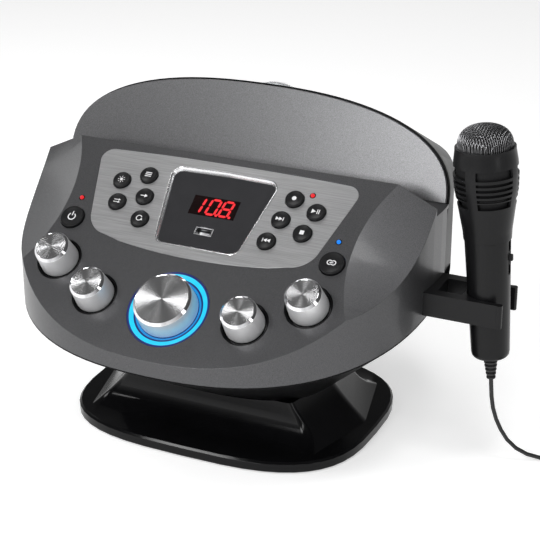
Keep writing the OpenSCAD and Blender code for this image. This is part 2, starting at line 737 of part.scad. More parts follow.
module potentiometers() color([0.5, 0.5, 0.52])
    for (p = concat(small_knob_places, [master_place])) on_panel(p[0], p[1], board_face)
        difference() {
            union() {
                translate([-pot_size / 2, -pot_size / 2, 0]) cube([pot_size, pot_size, pot_height]);
                cylinder(h = control_board_drop - well_depth - 0.6, r = bushing_radius, $fn = 48);
            }
            translate([0, 0, 0.6]) cylinder(h = far, r = shaft_radius + shaft_clearance, $fn = 48);
        }

/* Lights */
dome_ball = (pow(dome_radius, 2) + pow(dome_rise, 2)) / (2 * dome_rise);
dome_skirt = 6;
dome_wall = 2;
dome_floor = 2.5;
module light_dome() color([0.9, 0.95, 1, 0.4]) on_dome(0) rotate_extrude()
    polygon(concat([[0, dome_floor - dome_skirt], [dome_radius - dome_wall, dome_floor - dome_skirt],
                    [dome_radius - dome_wall, -dome_skirt], [dome_radius, -dome_skirt]],
                   [for (i = [0:12]) let (r = dome_radius * (12 - i) / 12)
                       [r, sqrt(pow(dome_ball, 2) - pow(r, 2)) - dome_ball + dome_rise]]));
module light_board() color([0.85, 0.85, 0.85]) on_dome(-dome_skirt - board_thickness) {
    difference() {
        cylinder(h = board_thickness, r = dome_radius + 3);
        for (a = [45:90:315]) rotate(a) translate([dome_radius + 0.6, 0, -past])
            cylinder(h = 4, r = 1, $fn = 24);
    }
    for (a = [0:120:240]) rotate(a) translate([9, 0, board_thickness]) cylinder(h = 2, r = 2.5, $fn = 32);
}

/* Disc drive */
face_foot = tray_height - 3;
face_thickness = 3;
tray_rear = crown_depth - face_thickness - 0.6;
tray_front = crown_depth - 160;
disc_middle = crown_depth - disc_from_back;
chassis_height = tray_height - 17;
chassis_floor = 2;
rail_gap = 0.3;
rail_wall = 3;
tray_slot_half = turntable_radius + 3;
module disc_tray() color([0.12, 0.12, 0.13]) { tray_plate(); rack(); }
module tray_plate() difference() {
    intersection() {
        translate([-tray_width / 2, tray_front, tray_height])
            cube([tray_width, tray_rear - tray_front, tray_thickness]);
        plan_block(face_thickness);
    }
    translate([0, disc_middle, tray_height + tray_thickness - disc_recess_depth])
        cylinder(h = 10, r = disc_recess_radius, $fn = 96);
    translate([-tray_slot_half, tray_front - past, tray_height - past])
        cube([2 * tray_slot_half, disc_middle - tray_front + past, far]);
    translate([0, disc_middle, tray_height - past]) cylinder(h = far, r = tray_slot_half);
}
module tray_face() color([0.06, 0.06, 0.065]) intersection() {
    difference() { plan_block(); plan_block(face_thickness); }
    translate([-tray_face_half, crown_depth / 2, face_foot])
        cube([2 * tray_face_half, crown_depth, tray_face_height]);
}
rail_half = tray_width / 2 + rail_gap;
chassis_front = tray_front - 5;
chassis_rear = crown_depth - 23;
// Height of the chassis walls above the tray
rail_rise = 3;
module drive_chassis() color([0.55, 0.57, 0.6]) {
    chassis_frame();
    sled_rods();
}
module chassis_frame() difference() {
    union() {
        translate([-rail_half - rail_wall, chassis_front, chassis_height])
            cube([2 * (rail_half + rail_wall), chassis_rear - chassis_front, chassis_floor]);
        for (side = [0, 1]) mirror([side, 0, 0]) {
            translate([rail_half, chassis_front, chassis_height])
                cube([rail_wall, chassis_rear - chassis_front,
                      tray_height + tray_thickness + rail_rise - chassis_height]);
            translate([rail_half - 4, chassis_front, tray_height - rail_gap - 2])
                cube([5, chassis_rear - chassis_front, 2]);
            translate([rail_half - 3, chassis_front, tray_height + tray_thickness + rail_gap])
                cube([4, chassis_rear - chassis_front, 2]);
        }
        for (x = [-1, 1], y = rod_span)
            translate([x * rod_x - 3, y - 2, chassis_height]) cube([6, 4, 9]);
        translate([gear_place[0], gear_place[1], chassis_height])
            cylinder(h = gear_foot - running_gap - chassis_height, r = 4, $fn = 32);
    }
    translate([0, disc_middle, chassis_height - past])
        cylinder(h = 2 * chassis_floor, r = motor_radius + 0.3);
    for (x = [-1, 1], p = chassis_posts)
        translate([x * p[0], p[1], chassis_height - past])
            cylinder(h = 6, r = screw_radius + seat, $fn = 32);
    for (x = [-1, 1], y = rod_span)
        translate([x * rod_x, y - 3, chassis_height + rod_up]) rotate([-90, 0, 0])
            cylinder(h = 6, r = rod_radius, $fn = 32);
    translate([gear_place[0], gear_place[1], chassis_height - past])
        cylinder(h = tray_height - chassis_height, r = gear_pin + shaft_clearance, $fn = 32);
}
motor_radius = 13;
rod_x = 11;
rod_up = 6;
rod_radius = 1.5;
rod_span = [disc_middle - 77, disc_middle - 21];
module sled_rods() for (x = [-1, 1])
    translate([x * rod_x, rod_span[0] - 2, chassis_height + rod_up]) rotate([-90, 0, 0])
        cylinder(h = rod_span[1] - rod_span[0] + 4, r = rod_radius, $fn = 32);
sled_span = [disc_middle - 49, disc_middle - 27];
module laser_sled() color([0.15, 0.15, 0.16]) difference() {
    union() {
        translate([-15.5, sled_span[0], chassis_height + rod_up - 3])
            cube([31, sled_span[1] - sled_span[0], 7]);
        translate([0, (sled_span[0] + sled_span[1]) / 2, chassis_height + rod_up + 3])
            cylinder(h = 9, r = 4);
    }
    for (x = [-1, 1])
        translate([x * rod_x, sled_span[0] - past, chassis_height + rod_up]) rotate([-90, 0, 0])
            cylinder(h = sled_span[1] - sled_span[0] + 2 * past, r = rod_radius + shaft_clearance, $fn = 32);
}
spindle_radius = 1;
turntable_foot = tray_height + tray_thickness - disc_recess_depth - 2;
module turntable() color([0.2, 0.2, 0.21]) translate([0, disc_middle, 0]) {
    rotate_extrude() polygon([[0, turntable_foot], [turntable_radius, turntable_foot],
                              [turntable_radius, turntable_foot + 2.4], [7.2, turntable_foot + 2.4],
                              [5.6, turntable_foot + 5], [0, turntable_foot + 5]]);
    translate([0, 0, chassis_height + 3])
        cylinder(h = turntable_foot - chassis_height - 2, r = spindle_radius, $fn = 32);
}
module spindle_motor() color([0.6, 0.6, 0.62]) translate([0, disc_middle, 0]) difference() {
    union() {
        translate([0, 0, chassis_height - 6]) cylinder(h = 15, r = motor_radius);
        translate([0, 0, chassis_height + 8])
            cylinder(h = turntable_foot - chassis_height - 8.3, r = 3, $fn = 32);
    }
    translate([0, 0, chassis_height + 2]) cylinder(h = 20, r = spindle_radius + 0.05, $fn = 32);
}
gear_place = [46, crown_depth - 31];
gear_height = 2.6;
running_gap = 0.4;
gear_teeth = 20;
gear_pin = 1.5;
// Gear with straight-sided teeth
module gear(pitch, teeth, thick) {
    tooth = 360 / teeth;
    polygon_points = [for (i = [0:teeth - 1], k = [[-0.24, -1.15], [-0.13, 0.9], [0.13, 0.9], [0.24, -1.15]])
        let (a = (i + k[0]) * tooth, r = pitch + k[1]) [r * cos(a), r * sin(a)]];
    linear_extrude(height = thick) polygon(polygon_points);
}
gear_foot = tray_height - 3;
// Rack under the tray's right side, in mesh with the loading gear
rack_pitch = 2 * PI * loading_gear_radius / gear_teeth;
rack_line = gear_place[0] + loading_gear_radius;
rack_back = 5;
rack_teeth = 42;
rack_first = -1;
module rack() translate([rack_line, gear_place[1], gear_foot + running_gap])
    linear_extrude(height = tray_height - gear_foot) polygon(concat(
        [[rack_back, -(rack_teeth + rack_first) * rack_pitch], [rack_back, -(rack_first - 1) * rack_pitch]],
        [for (i = [rack_first:rack_teeth + rack_first - 1],
              k = [[1.2, 0.42], [-0.75, 0.14], [-0.75, -0.14], [1.2, -0.42]])
            [k[0], (0.5 - i + k[1] * 0.5) * rack_pitch]]));
module loading_gear() color([0.9, 0.88, 0.8]) translate([gear_place[0], gear_place[1], 0]) {
    translate([0, 0, gear_foot]) gear(loading_gear_radius, gear_teeth, gear_height);
    translate([0, 0, chassis_height - 1])
        cylinder(h = gear_foot - chassis_height + 2, r = gear_pin, $fn = 32);
}
module loading_motor() color([0.6, 0.6, 0.62])
    translate([30, disc_middle + 11, chassis_height + chassis_floor]) cylinder(h = 9, r = 5);
clamp_height = tray_height + tray_thickness + 4;
module disc_clamp() color([0.2, 0.2, 0.21]) {
    difference() {
        translate([-rail_half - rail_wall, disc_middle - 10, clamp_height + 2])
            cube([2 * (rail_half + rail_wall), 20, 2]);
        translate([0, disc_middle, clamp_height]) cylinder(h = 8, r = 8.3);
    }
    for (x = [-1, 1]) translate([x * (rail_half + rail_wall / 2) - rail_wall / 2, disc_middle - 10,
                                 tray_height + tray_thickness + rail_rise])
        cube([rail_wall, 20, 3]);
    translate([0, disc_middle, clamp_height]) {
        cylinder(h = 1.7, r = 12);
        cylinder(h = 5, r = 8);
        translate([0, 0, 4.2]) cylinder(h = 1, r = 10);
    }
}

/* Electronics */
module speakers() color([0.12, 0.12, 0.13])
    at_speaker() translate([0, 0, -speaker_seat]) mirror([0, 0, 1]) rotate_extrude()
        polygon([[0, 14], [12, 14], [speaker_radius - 3, 1.5], [speaker_radius - 1, 0],
                 [speaker_radius + 4, 0], [speaker_radius + 4, 2.5], [speaker_radius, 3],
                 [18, 17], [18, 20], [20, 20], [20, 32], [0, 32]]);
speaker_seat = shell_wall + 4.4;
module main_board() color([0.1, 0.3, 0.16]) translate([0, 0, board_height]) {
    difference() {
        translate([-54, -56, 0]) cube([108, 100, board_thickness]);
        for (x = [-1, 1], p = board_posts) translate([x * p[0], p[1], -past])
            cylinder(h = 4, r = screw_radius + seat, $fn = 32);
    }
    translate([-30, -30, board_thickness]) cube([60, 3, 22]);
    for (x = [-18, 6], y = [-4]) translate([x, y, board_thickness]) cube([12, 12, 1.6]);
    for (x = [-40, -28, 30]) translate([x, 26, board_thickness]) cylinder(h = 16, r = 5, $fn = 32);
}
module battery_pack() color([0.15, 0.2, 0.35])
    translate([-36, -30, neck_top + shell_wall + 0.1]) cube([72, 54, 19]);
module socket_panel() color([0.05, 0.05, 0.055]) difference() {
    intersection() {
        bowl();
        translate([-socket_panel_half, socket_face_y - shell_wall, socket_panel_span[0]])
            cube([2 * socket_panel_half, far, socket_panel_span[1] - socket_panel_span[0]]);
    }
    translate([-socket_panel_half + shell_wall, socket_face_y, socket_panel_span[0] + shell_wall])
        cube([2 * (socket_panel_half - shell_wall), far,
              socket_panel_span[1] - socket_panel_span[0] - 2 * shell_wall]);
    for (s = socket_list)
        translate([s[0], socket_face_y - shell_wall - past, socket_height]) rotate([-90, 0, 0])
            cylinder(h = shell_wall + 2 * past, r = s[2] + seat, $fn = 48);
}
socket_height = 102;
// Each socket: across, bore radius, outer radius and depth
socket_list = [[-36, mic_socket_radius, 6, 32], [-19, mic_socket_radius, 6, 32],
               [-3, line_socket_radius, 4, 15], [10, 1.7, 4.2, 9], [22, 1.7, 4.2, 9], [36, 2.8, 5.5, 10]];
socket_proud = 2;
module sockets() color([0.3, 0.3, 0.3]) for (s = socket_list)
    translate([s[0], socket_face_y + socket_proud, socket_height]) rotate([90, 0, 0]) difference() {
        union() {
            cylinder(h = s[3] + 2, r = s[2], $fn = 48);
            translate([-s[2], -s[2], socket_proud + shell_wall + seat])
                cube([2 * s[2], 2 * s[2], s[3] - socket_proud - shell_wall + 1]);
        }
        translate([0, 0, -past]) cylinder(h = s[3] + past, r = s[1], $fn = 48);
    }
module screw(length) {
    cylinder(h = screw_head_depth, r = screw_head, $fn = 32);
    cylinder(h = length, r = screw_radius, $fn = 32);
}
module case_screws() color([0.5, 0.5, 0.52]) {
    for (x = [-1, 1], y = [-1, 1]) {
        translate([x * cover_screw_place[0], y * cover_screw_place[1], plate_foot]) screw(4);
        translate([x * neck_screw_place[0], y * neck_screw_place[1],
                   neck_top - pedestal_wall - screw_head_depth - 0.05])
            screw(pedestal_wall + 2 * shell_wall + screw_head_depth);
    }
}

/* Microphone and its holder */
fork_gap = handle_foot + (handle_top - handle_foot) * prong_up / handle_length + 0.45 + prong_gap;
module mic_holder() color([0.04, 0.04, 0.045]) difference() {
    translate([mic_foot[0] - prong_up * sin(mic_lean), mic_foot[1],
               mic_foot[2] + prong_up * cos(mic_lean) - prong_height / 2])
        difference() {
            union() {
                translate([-60, -fork_gap - prong_thickness, 0])
                    cube([60 + 12, 2 * (fork_gap + prong_thickness), prong_height]);
                for (y = [-1, 1]) translate([12, y * (fork_gap + prong_thickness / 2), 0])
                    cylinder(h = prong_height, r = prong_thickness / 2 + 0.4, $fn = 32);
            }
            translate([0, -fork_gap, -past]) cube([60, 2 * fork_gap, prong_height + 2 * past]);
            translate([0, 0, prong_height / 2]) rotate([0, -mic_lean, 0])
                cylinder(h = 2 * prong_height, r = fork_gap, center = true);
            translate([-34, -fork_gap + 4, -past]) cube([18, 2 * fork_gap - 8, prong_height + 2 * past]);
        }
    plan_block(0);
}
head_step = 0.6;
module mic_handle() color([0.05, 0.05, 0.055]) on_mic(0) difference() {
    rotate_extrude() polygon([[0, 0], [handle_foot - 1.6, 0], [handle_foot - 0.4, 1.6], [handle_foot, 4],
                              [handle_top, handle_length], [0, handle_length]]);
    translate([0, 0, 12]) cylinder(h = handle_length, r = handle_foot - 3);
    translate([handle_top - 4, -2.2, switch_up - 12]) cube([8, 4.4, 24]);
}
switch_up = 74;
module mic_switch() color([0.1, 0.1, 0.1]) on_mic(switch_up) {
    translate([handle_top - 3.7, -1.9, -5]) cube([3.4, 3.8, 10]);
    translate([handle_top - 1, -1.4, -2.2]) cube([2.6, 2.8, 4.4]);
}
// Head's outer radius at a height above the handle
head_profile = [[handle_top + head_step, 0], [handle_top + 1, 6], [19.1, 21], [21.6, 36], [head_radius, 47],
                [head_radius - 0.6, 55], [20.6, 62], [mesh_radius + 0.9, head_length]];
head_wall = 1.5;
// Foot and height of each row of vents, above the handle
vent_rows = [[25.5, 4.6], [31, 2], [34.7, 2], [38.4, 2], [42.1, 2], [46.2, 6]];
rib_width = 7.5;
rib_turn = -10;
module mic_head() color([0.05, 0.05, 0.055]) on_mic(handle_length) difference() {
    rotate_extrude() polygon(concat(head_profile,
        [for (i = [len(head_profile) - 1:-1:0]) [head_profile[i][0] - head_wall, head_profile[i][1]]]));
    difference() {
        for (v = vent_rows) translate([0, 0, v[0]]) cylinder(h = v[1], r = head_radius + 2);
        for (a = [0, 90]) rotate(a + rib_turn) translate([-head_radius - 4, -rib_width / 2, 0])
            cube([2 * head_radius + 8, rib_width, head_length]);
    }
}
mesh_foot = 16;
mesh_squareness = 2.4;
module mic_mesh() color([0.3, 0.3, 0.31]) on_mic(handle_length) rotate_extrude()
    polygon(concat([[0, mesh_foot], [15, mesh_foot], [head_radius - head_wall - 2, 40],
                    [head_radius - head_wall - 2, 52], [mesh_radius - 0.9, head_length - 0.2]],
                   [for (i = [1:10]) let (a = 90 * i / 10)
                       [(mesh_radius - 0.9) * pow(cos(a), 2 / mesh_squareness),
                        head_length - 0.2 + mesh_rise * pow(sin(a), 2 / mesh_squareness)]]));
relief_ribs = 6;
relief_top_radius = 5.3;
relief_foot_radius = 3;
module strain_relief() color([0.04, 0.04, 0.045]) on_mic(-relief_length) rotate_extrude()
    polygon(concat([[0, 0]],
        [for (i = [0:relief_ribs - 1], k = [[0.05, 0.25], [0.5, 0.25], [0.55, -0.25], [1, -0.25]])
            let (f = (i + k[0]) / relief_ribs)
            [relief_foot_radius + (relief_top_radius - relief_foot_radius) * f + k[1] - 0.2,
             relief_length * f]],
        [[relief_top_radius, relief_length], [0, relief_length]]));

/* Microphone lead: its route, then its coil and plug */
// Direction in which the lead leaves the strain relief
exit_way = [sin(mic_lean), 0, -cos(mic_lean)];
exit_point = mic_foot + relief_length * exit_way;
lead_route = concat([exit_point, exit_point + 4 * exit_way],
    [[200.6, -1, 52], [202, -0.5, 43], [204.5, 0.5, 34], [208, 2, 25.5], [212.5, 4, 17.5],
     [218.5, 7, 10.5], [226, 10.5, 5.5], [234.5, 14.5, 2.6], [243.5, 18.5, 1.6], [253, 21.8, 1.5],
     [263, 24, 1.5], [273, 25, 1.5], [282, 25, 1.5], [290, 25, 1.5]]);
coil_turns = 15.75;
coil_rings = 24;
coil_run = 3.75;
coil_lap = 4;
coil_tip = coil_radius - coil_step[0] * coil_run;
function coil_reach(t) = t < coil_run ? coil_radius - coil_step[0] * t
    : coil_tip + coil_step[0] * abs((t - coil_run + coil_lap) % (2 * coil_lap) - coil_lap);
// Layer of the coil after t turns, climbing over each half turn where the spiral reverses
function coil_layer(t) = let (lap = floor((t + 0.5) / coil_lap), f = (t + 0.5) / coil_lap - lap)
    lap == 0 ? 0 : lap - 1 + min(1, f * coil_lap / 0.5);
function coil_point(t) = let (a = 90 - 360 * t, r = coil_reach(t))
    [coil_middle[0] + r * cos(a), coil_middle[1] + r * sin(a),
     lead_diameter / 2 + coil_step[1] * coil_layer(t)];
coil_end = coil_point(coil_turns);
plug_axis_height = 7.2;
plug_start = coil_end[1] + 34;
coil_route = concat([for (i = [0:coil_rings * coil_turns]) coil_point(i / coil_rings)],
    [coil_end + [0, 5, 0], coil_end + [0, 10, -0.3], coil_end + [0, 15, -1.2], coil_end + [0, 20, -2.5],
     [coil_end[0], coil_end[1] + 25, plug_axis_height + 0.8],
     [coil_end[0], coil_end[1] + 30, plug_axis_height],
     [coil_end[0], plug_start, plug_axis_height]]);
function unit(v) = v / norm(v);
// Round tube along a route, its rings set square to it; up is a direction the route never takes
module tube(route, radius, sides, up) {
    n = len(route);
    rings = [for (i = [0:n - 1])
        let (t = unit(route[min(i + 1, n - 1)] - route[max(i - 1, 0)]),
             a = unit(cross(t, up)), b = cross(a, t))
        [for (k = [0:sides - 1]) let (w = 360 * k / sides)
            route[i] + radius * (cos(w) * a + sin(w) * b)]];
    points = [for (ring = rings, p = ring) p];
    faces = concat(
        [for (i = [0:n - 2], k = [0:sides - 1])
            [i * sides + k, i * sides + (k + 1) % sides, (i + 1) * sides + k]],
        [for (i = [0:n - 2], k = [0:sides - 1])
            [i * sides + (k + 1) % sides, (i + 1) * sides + (k + 1) % sides, (i + 1) * sides + k]],
        [for (k = [1:sides - 2]) [0, k + 1, k]],
        [for (k = [1:sides - 2]) [(n - 1) * sides, (n - 1) * sides + k, (n - 1) * sides + k + 1]]);
    polyhedron(points, faces);
}
plug_tip = 30;
module mic_plug() color([0.05, 0.05, 0.055])
    translate([coil_end[0], plug_start, plug_axis_height]) rotate([-90, 0, 0])
        rotate_extrude() polygon([[0, 0], [3.4, 0], [6.6, 6], [7, 10], [7, plug_barrel_length],
            [4.6, plug_barrel_length], [4.6, plug_barrel_length + 1.5],
            [plug_pin_radius, plug_barrel_length + 1.5],
            [plug_pin_radius, plug_barrel_length + plug_tip - 4],
            [2.2, plug_barrel_length + plug_tip - 3],
            [2.9, plug_barrel_length + plug_tip - 2], [1, plug_barrel_length + plug_tip],
            [0, plug_barrel_length + plug_tip]]);
// Least gap between turns that lie at least half a turn apart
function coil_gap() = let (skip = coil_rings / 2, n = len(coil_route))
    min([for (i = [0:n - 1 - skip])
        min([for (j = [i + skip:n - 1]) norm(coil_route[i] - coil_route[j])])]) - lead_diameter;
module mic_lead() color([0.03, 0.03, 0.03]) tube(lead_route, lead_diameter / 2, 8, [0, 1, 0]);
module lead_coil() {
    echo("Least gap of the coil to itself, in millimetres:", coil_gap());
    color([0.03, 0.03, 0.03]) tube(coil_route, lead_diameter / 2, 6, [0, 0, 1]);
}

pedestal();
base_cover();
base_pad();
lower_shell();
top_shell();
rear_shell();
tablet_rest();
trim_plate();
display_window();
display_module();
usb_socket();
control_board();
button_switches();
potentiometers();
knob_wells();
light_ring();
indicator_lamps();
mic1_knob();
bass_knob();
master_knob();
echo_knob();
mic2_knob();
power_button();
pair_button();
lights_button();
mode_button();
random_button();
skip_button();
repeat_button();
record_button();
play_button();
next_button();
stop_button();
previous_button();
light_dome();
light_board();
disc_tray();
tray_face();
drive_chassis();
turntable();
spindle_motor();
laser_sled();
loading_gear();
loading_motor();
disc_clamp();
speakers();
main_board();
battery_pack();
socket_panel();
sockets();
case_screws();
mic_holder();
mic_handle();
mic_head();
mic_mesh();
mic_switch();
strain_relief();
mic_lead();
lead_coil();
mic_plug();
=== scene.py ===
"""Karaoke machine with a sloped control panel, a rear disc tray and a corded microphone."""
import json
import math

import bmesh
import bpy
from mathutils import Matrix, Vector


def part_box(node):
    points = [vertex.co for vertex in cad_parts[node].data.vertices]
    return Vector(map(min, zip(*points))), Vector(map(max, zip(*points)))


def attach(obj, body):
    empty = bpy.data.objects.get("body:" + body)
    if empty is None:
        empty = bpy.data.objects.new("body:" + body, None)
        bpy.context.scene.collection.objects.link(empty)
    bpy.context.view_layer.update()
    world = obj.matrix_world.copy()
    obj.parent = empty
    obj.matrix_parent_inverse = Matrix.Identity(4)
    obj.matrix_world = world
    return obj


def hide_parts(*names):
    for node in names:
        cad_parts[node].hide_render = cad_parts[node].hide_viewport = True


bl_info = {
    "name": "Karaoke machine",
    "version": (1, 0, 0),
    "blender": (4, 5, 0),
    "location": "View3D > Sidebar > Karaoke",
    "description": "Dresses the packed karaoke machine and sets up its studio",
    "category": "Object",
}

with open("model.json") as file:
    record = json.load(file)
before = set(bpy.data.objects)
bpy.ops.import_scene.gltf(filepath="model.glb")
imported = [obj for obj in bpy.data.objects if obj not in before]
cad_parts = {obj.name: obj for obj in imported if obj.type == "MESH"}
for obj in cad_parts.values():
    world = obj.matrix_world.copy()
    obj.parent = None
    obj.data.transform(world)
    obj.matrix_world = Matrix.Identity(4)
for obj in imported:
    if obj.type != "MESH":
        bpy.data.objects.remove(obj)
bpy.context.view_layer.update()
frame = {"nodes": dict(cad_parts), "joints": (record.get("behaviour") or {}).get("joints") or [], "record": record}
NODES = frame["nodes"]
JOINTS = {joint["name"]: joint for joint in frame["joints"]}
BODY_OF = {node: body for body, nodes in frame["record"]["behaviour"]["bodies"].items() for node in nodes}
MM = 0.001

# The control panel's slope, and the point of it that the master knob's line crosses
PANEL_NORMAL = Vector(JOINTS["master_turn"]["axis"]).normalized()
PANEL_SLOPE = math.atan2(-PANEL_NORMAL.y, PANEL_NORMAL.z)
PANEL_POINT = Vector((0, -0.1016, 0.1245))
SMALL_KNOBS = ("mic1_knob", "bass_knob", "echo_knob", "mic2_knob")
LARGE_BUTTONS = ("power", "pair")
SMALL_BUTTONS = ("lights", "mode", "random", "skip", "repeat", "record", "play", "next", "stop", "previous")
# The foot of the microphone's handle, its lean to the right, and the sleeve below it
MIC_FOOT = Vector((0.198, -0.001, 0.084))
MIC_LEAN = math.radians(4.6)
HANDLE_LENGTH = 0.087
RELIEF_LENGTH = 0.018
# Distance under which a turned profile's doubled points are one, and the same in a copied node
PROFILE_SEAM = 0.000005
NODE_SEAM = 0.000002
# Faces of a copied node that lean less than this to each other are one flat face
FLAT_ANGLE = math.radians(0.4)
# Depth of the fine relief on moulded and lacquered surfaces
GRAIN_DEPTH = 0.0001


def on_panel(u, v, h=0.0):
    """Places a piece on the control panel: across, up the slope and proud of it, in millimetres."""
    slope = Vector((0, math.cos(PANEL_SLOPE), math.sin(PANEL_SLOPE)))
    spot = PANEL_POINT + Vector((u * MM, 0, 0)) + slope * v * MM + PANEL_NORMAL * h * MM
    return Matrix.Translation(spot) @ Matrix.Rotation(PANEL_SLOPE, 4, "X")


def at_joint(name, h=0.0):
    """Places a piece on the control panel at a joint's point."""
    return (Matrix.Translation(Vector(JOINTS[name]["pos_m"]) + PANEL_NORMAL * h * MM)
            @ Matrix.Rotation(PANEL_SLOPE, 4, "X"))


def on_mic(height=0.0):
    """Places a piece on the microphone's axis, in metres above the handle's foot."""
    return (Matrix.Translation(MIC_FOOT) @ Matrix.Rotation(-MIC_LEAN, 4, "Y")
            @ Matrix.Translation((0, 0, height)))


class KaraokeSizes(bpy.types.PropertyGroup):
    """Sizes of the finish and of the small pieces"""
    case_edge: bpy.props.FloatProperty(
        name="Case edge", description="Rounding of the case's edges", default=0.0007, unit="LENGTH")
    digit_height: bpy.props.FloatProperty(
        name="Digit height", description="Height of the display's digits", default=0.0126, unit="LENGTH")
    digit_slant: bpy.props.FloatProperty(
        name="Digit slant", description="Lean of the display's digits", default=math.radians(9),
        subtype="ANGLE")
    icon_width: bpy.props.FloatProperty(
        name="Icon width", description="Width of a small button's icon", default=0.0066, unit="LENGTH")
    lead_diameter: bpy.props.FloatProperty(
        name="Lead diameter", description="Diameter of the microphone's lead", default=0.003,
        unit="LENGTH")
    mesh_wire: bpy.props.FloatProperty(
        name="Mesh wire", description="Thickness of the microphone's woven wire", default=0.00042,
        unit="LENGTH")
    camera_lens: bpy.props.FloatProperty(
        name="Camera lens", description="Focal length of the camera", default=104.7, unit="CAMERA")


class KaraokeColours(bpy.types.PropertyGroup):
    """Colours of the finishes and of the lights"""
    panel_grey: bpy.props.FloatVectorProperty(
        name="Panel grey", description="Metallic lacquer of the upper shell", default=(0.07, 0.07, 0.073),
        subtype="COLOR", min=0, max=1)
    rest_grey: bpy.props.FloatVectorProperty(
        name="Rest grey", description="Satin grey of the tablet rest", default=(0.13, 0.13, 0.134),
        subtype="COLOR", min=0, max=1)
    trim_silver: bpy.props.FloatVectorProperty(
        name="Trim silver", description="Brushed trim plate", default=(0.42, 0.42, 0.425),
        subtype="COLOR", min=0, max=1)
    ring_blue: bpy.props.FloatVectorProperty(
        name="Ring light", description="Light of the ring round the master knob", default=(0.0, 0.62, 0.95),
        subtype="COLOR", min=0, max=1)
    digit_red: bpy.props.FloatVectorProperty(
        name="Digit red", description="Light of the display's digits", default=(1.0, 0.015, 0.012),
        subtype="COLOR", min=0, max=1)


# Materials

def plain(name, colour, roughness, metallic=0.0, coat=0.0, specular=0.5):
    """A new material with its shader set, its node tree and its shader node."""
    material = bpy.data.materials.new(name)
    material.use_nodes = True
    shader = material.node_tree.nodes["Principled BSDF"]
    shader.inputs["Base Color"].default_value = (*colour, 1)
    shader.inputs["Roughness"].default_value = roughness
    shader.inputs["Metallic"].default_value = metallic
    shader.inputs["Coat Weight"].default_value = coat
    shader.inputs["Specular IOR Level"].default_value = specular
    material.diffuse_color = (*colour, 1)
    return material, material.node_tree, shader


def add_noise(tree, scale, detail=2.0, stretch=(1, 1, 1), turn=(0, 0, 0)):
    """A noise pattern in the object's own metres, stretched and turned."""
    place = tree.nodes.new("ShaderNodeTexCoord")
    mapping = tree.nodes.new("ShaderNodeMapping")
    noise = tree.nodes.new("ShaderNodeTexNoise")
    mapping.vector_type = "TEXTURE"
    mapping.inputs["Scale"].default_value = stretch
    mapping.inputs["Rotation"].default_value = turn
    noise.inputs["Scale"].default_value = scale
    noise.inputs["Detail"].default_value = detail
    tree.links.new(place.outputs["Object"], mapping.inputs["Vector"])
    tree.links.new(mapping.outputs["Vector"], noise.inputs["Vector"])
    return noise


def add_ramp(tree, source, dark, light, low=0.3, high=0.7):
    """A colour ramp between two colours."""
    ramp = tree.nodes.new("ShaderNodeValToRGB")
    ramp.color_ramp.elements[0].position = low
    ramp.color_ramp.elements[0].color = (*dark, 1)
    ramp.color_ramp.elements[1].position = high
    ramp.color_ramp.elements[1].color = (*light, 1)
    tree.links.new(source, ramp.inputs["Fac"])
    return ramp


def add_bump(tree, shader, source, strength):
    """Fine relief on a shader's surface."""
    bump = tree.nodes.new("ShaderNodeBump")
    bump.inputs["Strength"].default_value = strength
    bump.inputs["Distance"].default_value = GRAIN_DEPTH
    tree.links.new(source, bump.inputs["Height"])
    tree.links.new(bump.outputs["Normal"], shader.inputs["Normal"])


def add_roughness(tree, shader, source, low, high):
    """Roughness that follows a pattern."""
    spread = tree.nodes.new("ShaderNodeMapRange")
    spread.inputs["To Min"].default_value = low
    spread.inputs["To Max"].default_value = high
    tree.links.new(source, spread.inputs["Value"])
    tree.links.new(spread.outputs["Result"], shader.inputs["Roughness"])


def shade(colour, factor):
    """A colour made darker or lighter."""
    return tuple(min(1.0, channel * factor) for channel in colour)


def mottled(name, colour, roughness, scale, spread=0.12, grain=0.1, metallic=0.0, coat=0.0, specular=0.5,
            ior=1.45):
    """A finish whose tone, gloss and surface vary with one fine noise."""
    material, tree, shader = plain(name, colour, roughness, metallic, coat, specular)
    shader.inputs["IOR"].default_value = ior
    noise = add_noise(tree, scale)
    ramp = add_ramp(tree, noise.outputs["Fac"], shade(colour, 1 - spread), shade(colour, 1 + spread))
    tree.links.new(ramp.outputs["Color"], shader.inputs["Base Color"])
    add_roughness(tree, shader, noise.outputs["Fac"], roughness * 0.85, roughness * 1.15)
    if grain:
        add_bump(tree, shader, noise.outputs["Fac"], grain)
    return material


def gloss_black():
    """Shiny moulding of the pedestal and the lamp collars."""
    return mottled("Gloss black moulding", (0.004, 0.004, 0.0045), 0.14, 60, spread=0.15, grain=0.0, ior=1.28)


def satin_black():
    """Half-shiny moulding of the buttons and the holder."""
    return mottled("Satin black moulding", (0.006, 0.006, 0.0065), 0.34, 1400, grain=0.12, ior=1.3)


def matte_black():
    """Dull moulding of the inner pieces and the microphone's core."""
    return mottled("Matte black moulding", (0.007, 0.007, 0.0075), 0.55, 1200, grain=0.25, ior=1.28)


def deep_black():
    """Moulding of the rear and lower shells, which hardly mirrors the studio."""
    return mottled("Deep black moulding", (0.004, 0.004, 0.0045), 0.3, 60, spread=0.15, grain=0.0,
                   specular=0.06)


def panel_lacquer(colours):
    """Dark grey lacquer with fine metal flakes under a clear coat."""
    material, tree, shader = plain("Metallic lacquer", colours.panel_grey, 0.4, 0.7, 0.22)
    shader.inputs["Coat Roughness"].default_value = 0.1
    flakes = add_noise(tree, 2600, 3)
    ramp = add_ramp(tree, flakes.outputs["Fac"], shade(colours.panel_grey, 0.72),
                    shade(colours.panel_grey, 1.3), 0.35, 0.65)
    tree.links.new(ramp.outputs["Color"], shader.inputs["Base Color"])
    return material


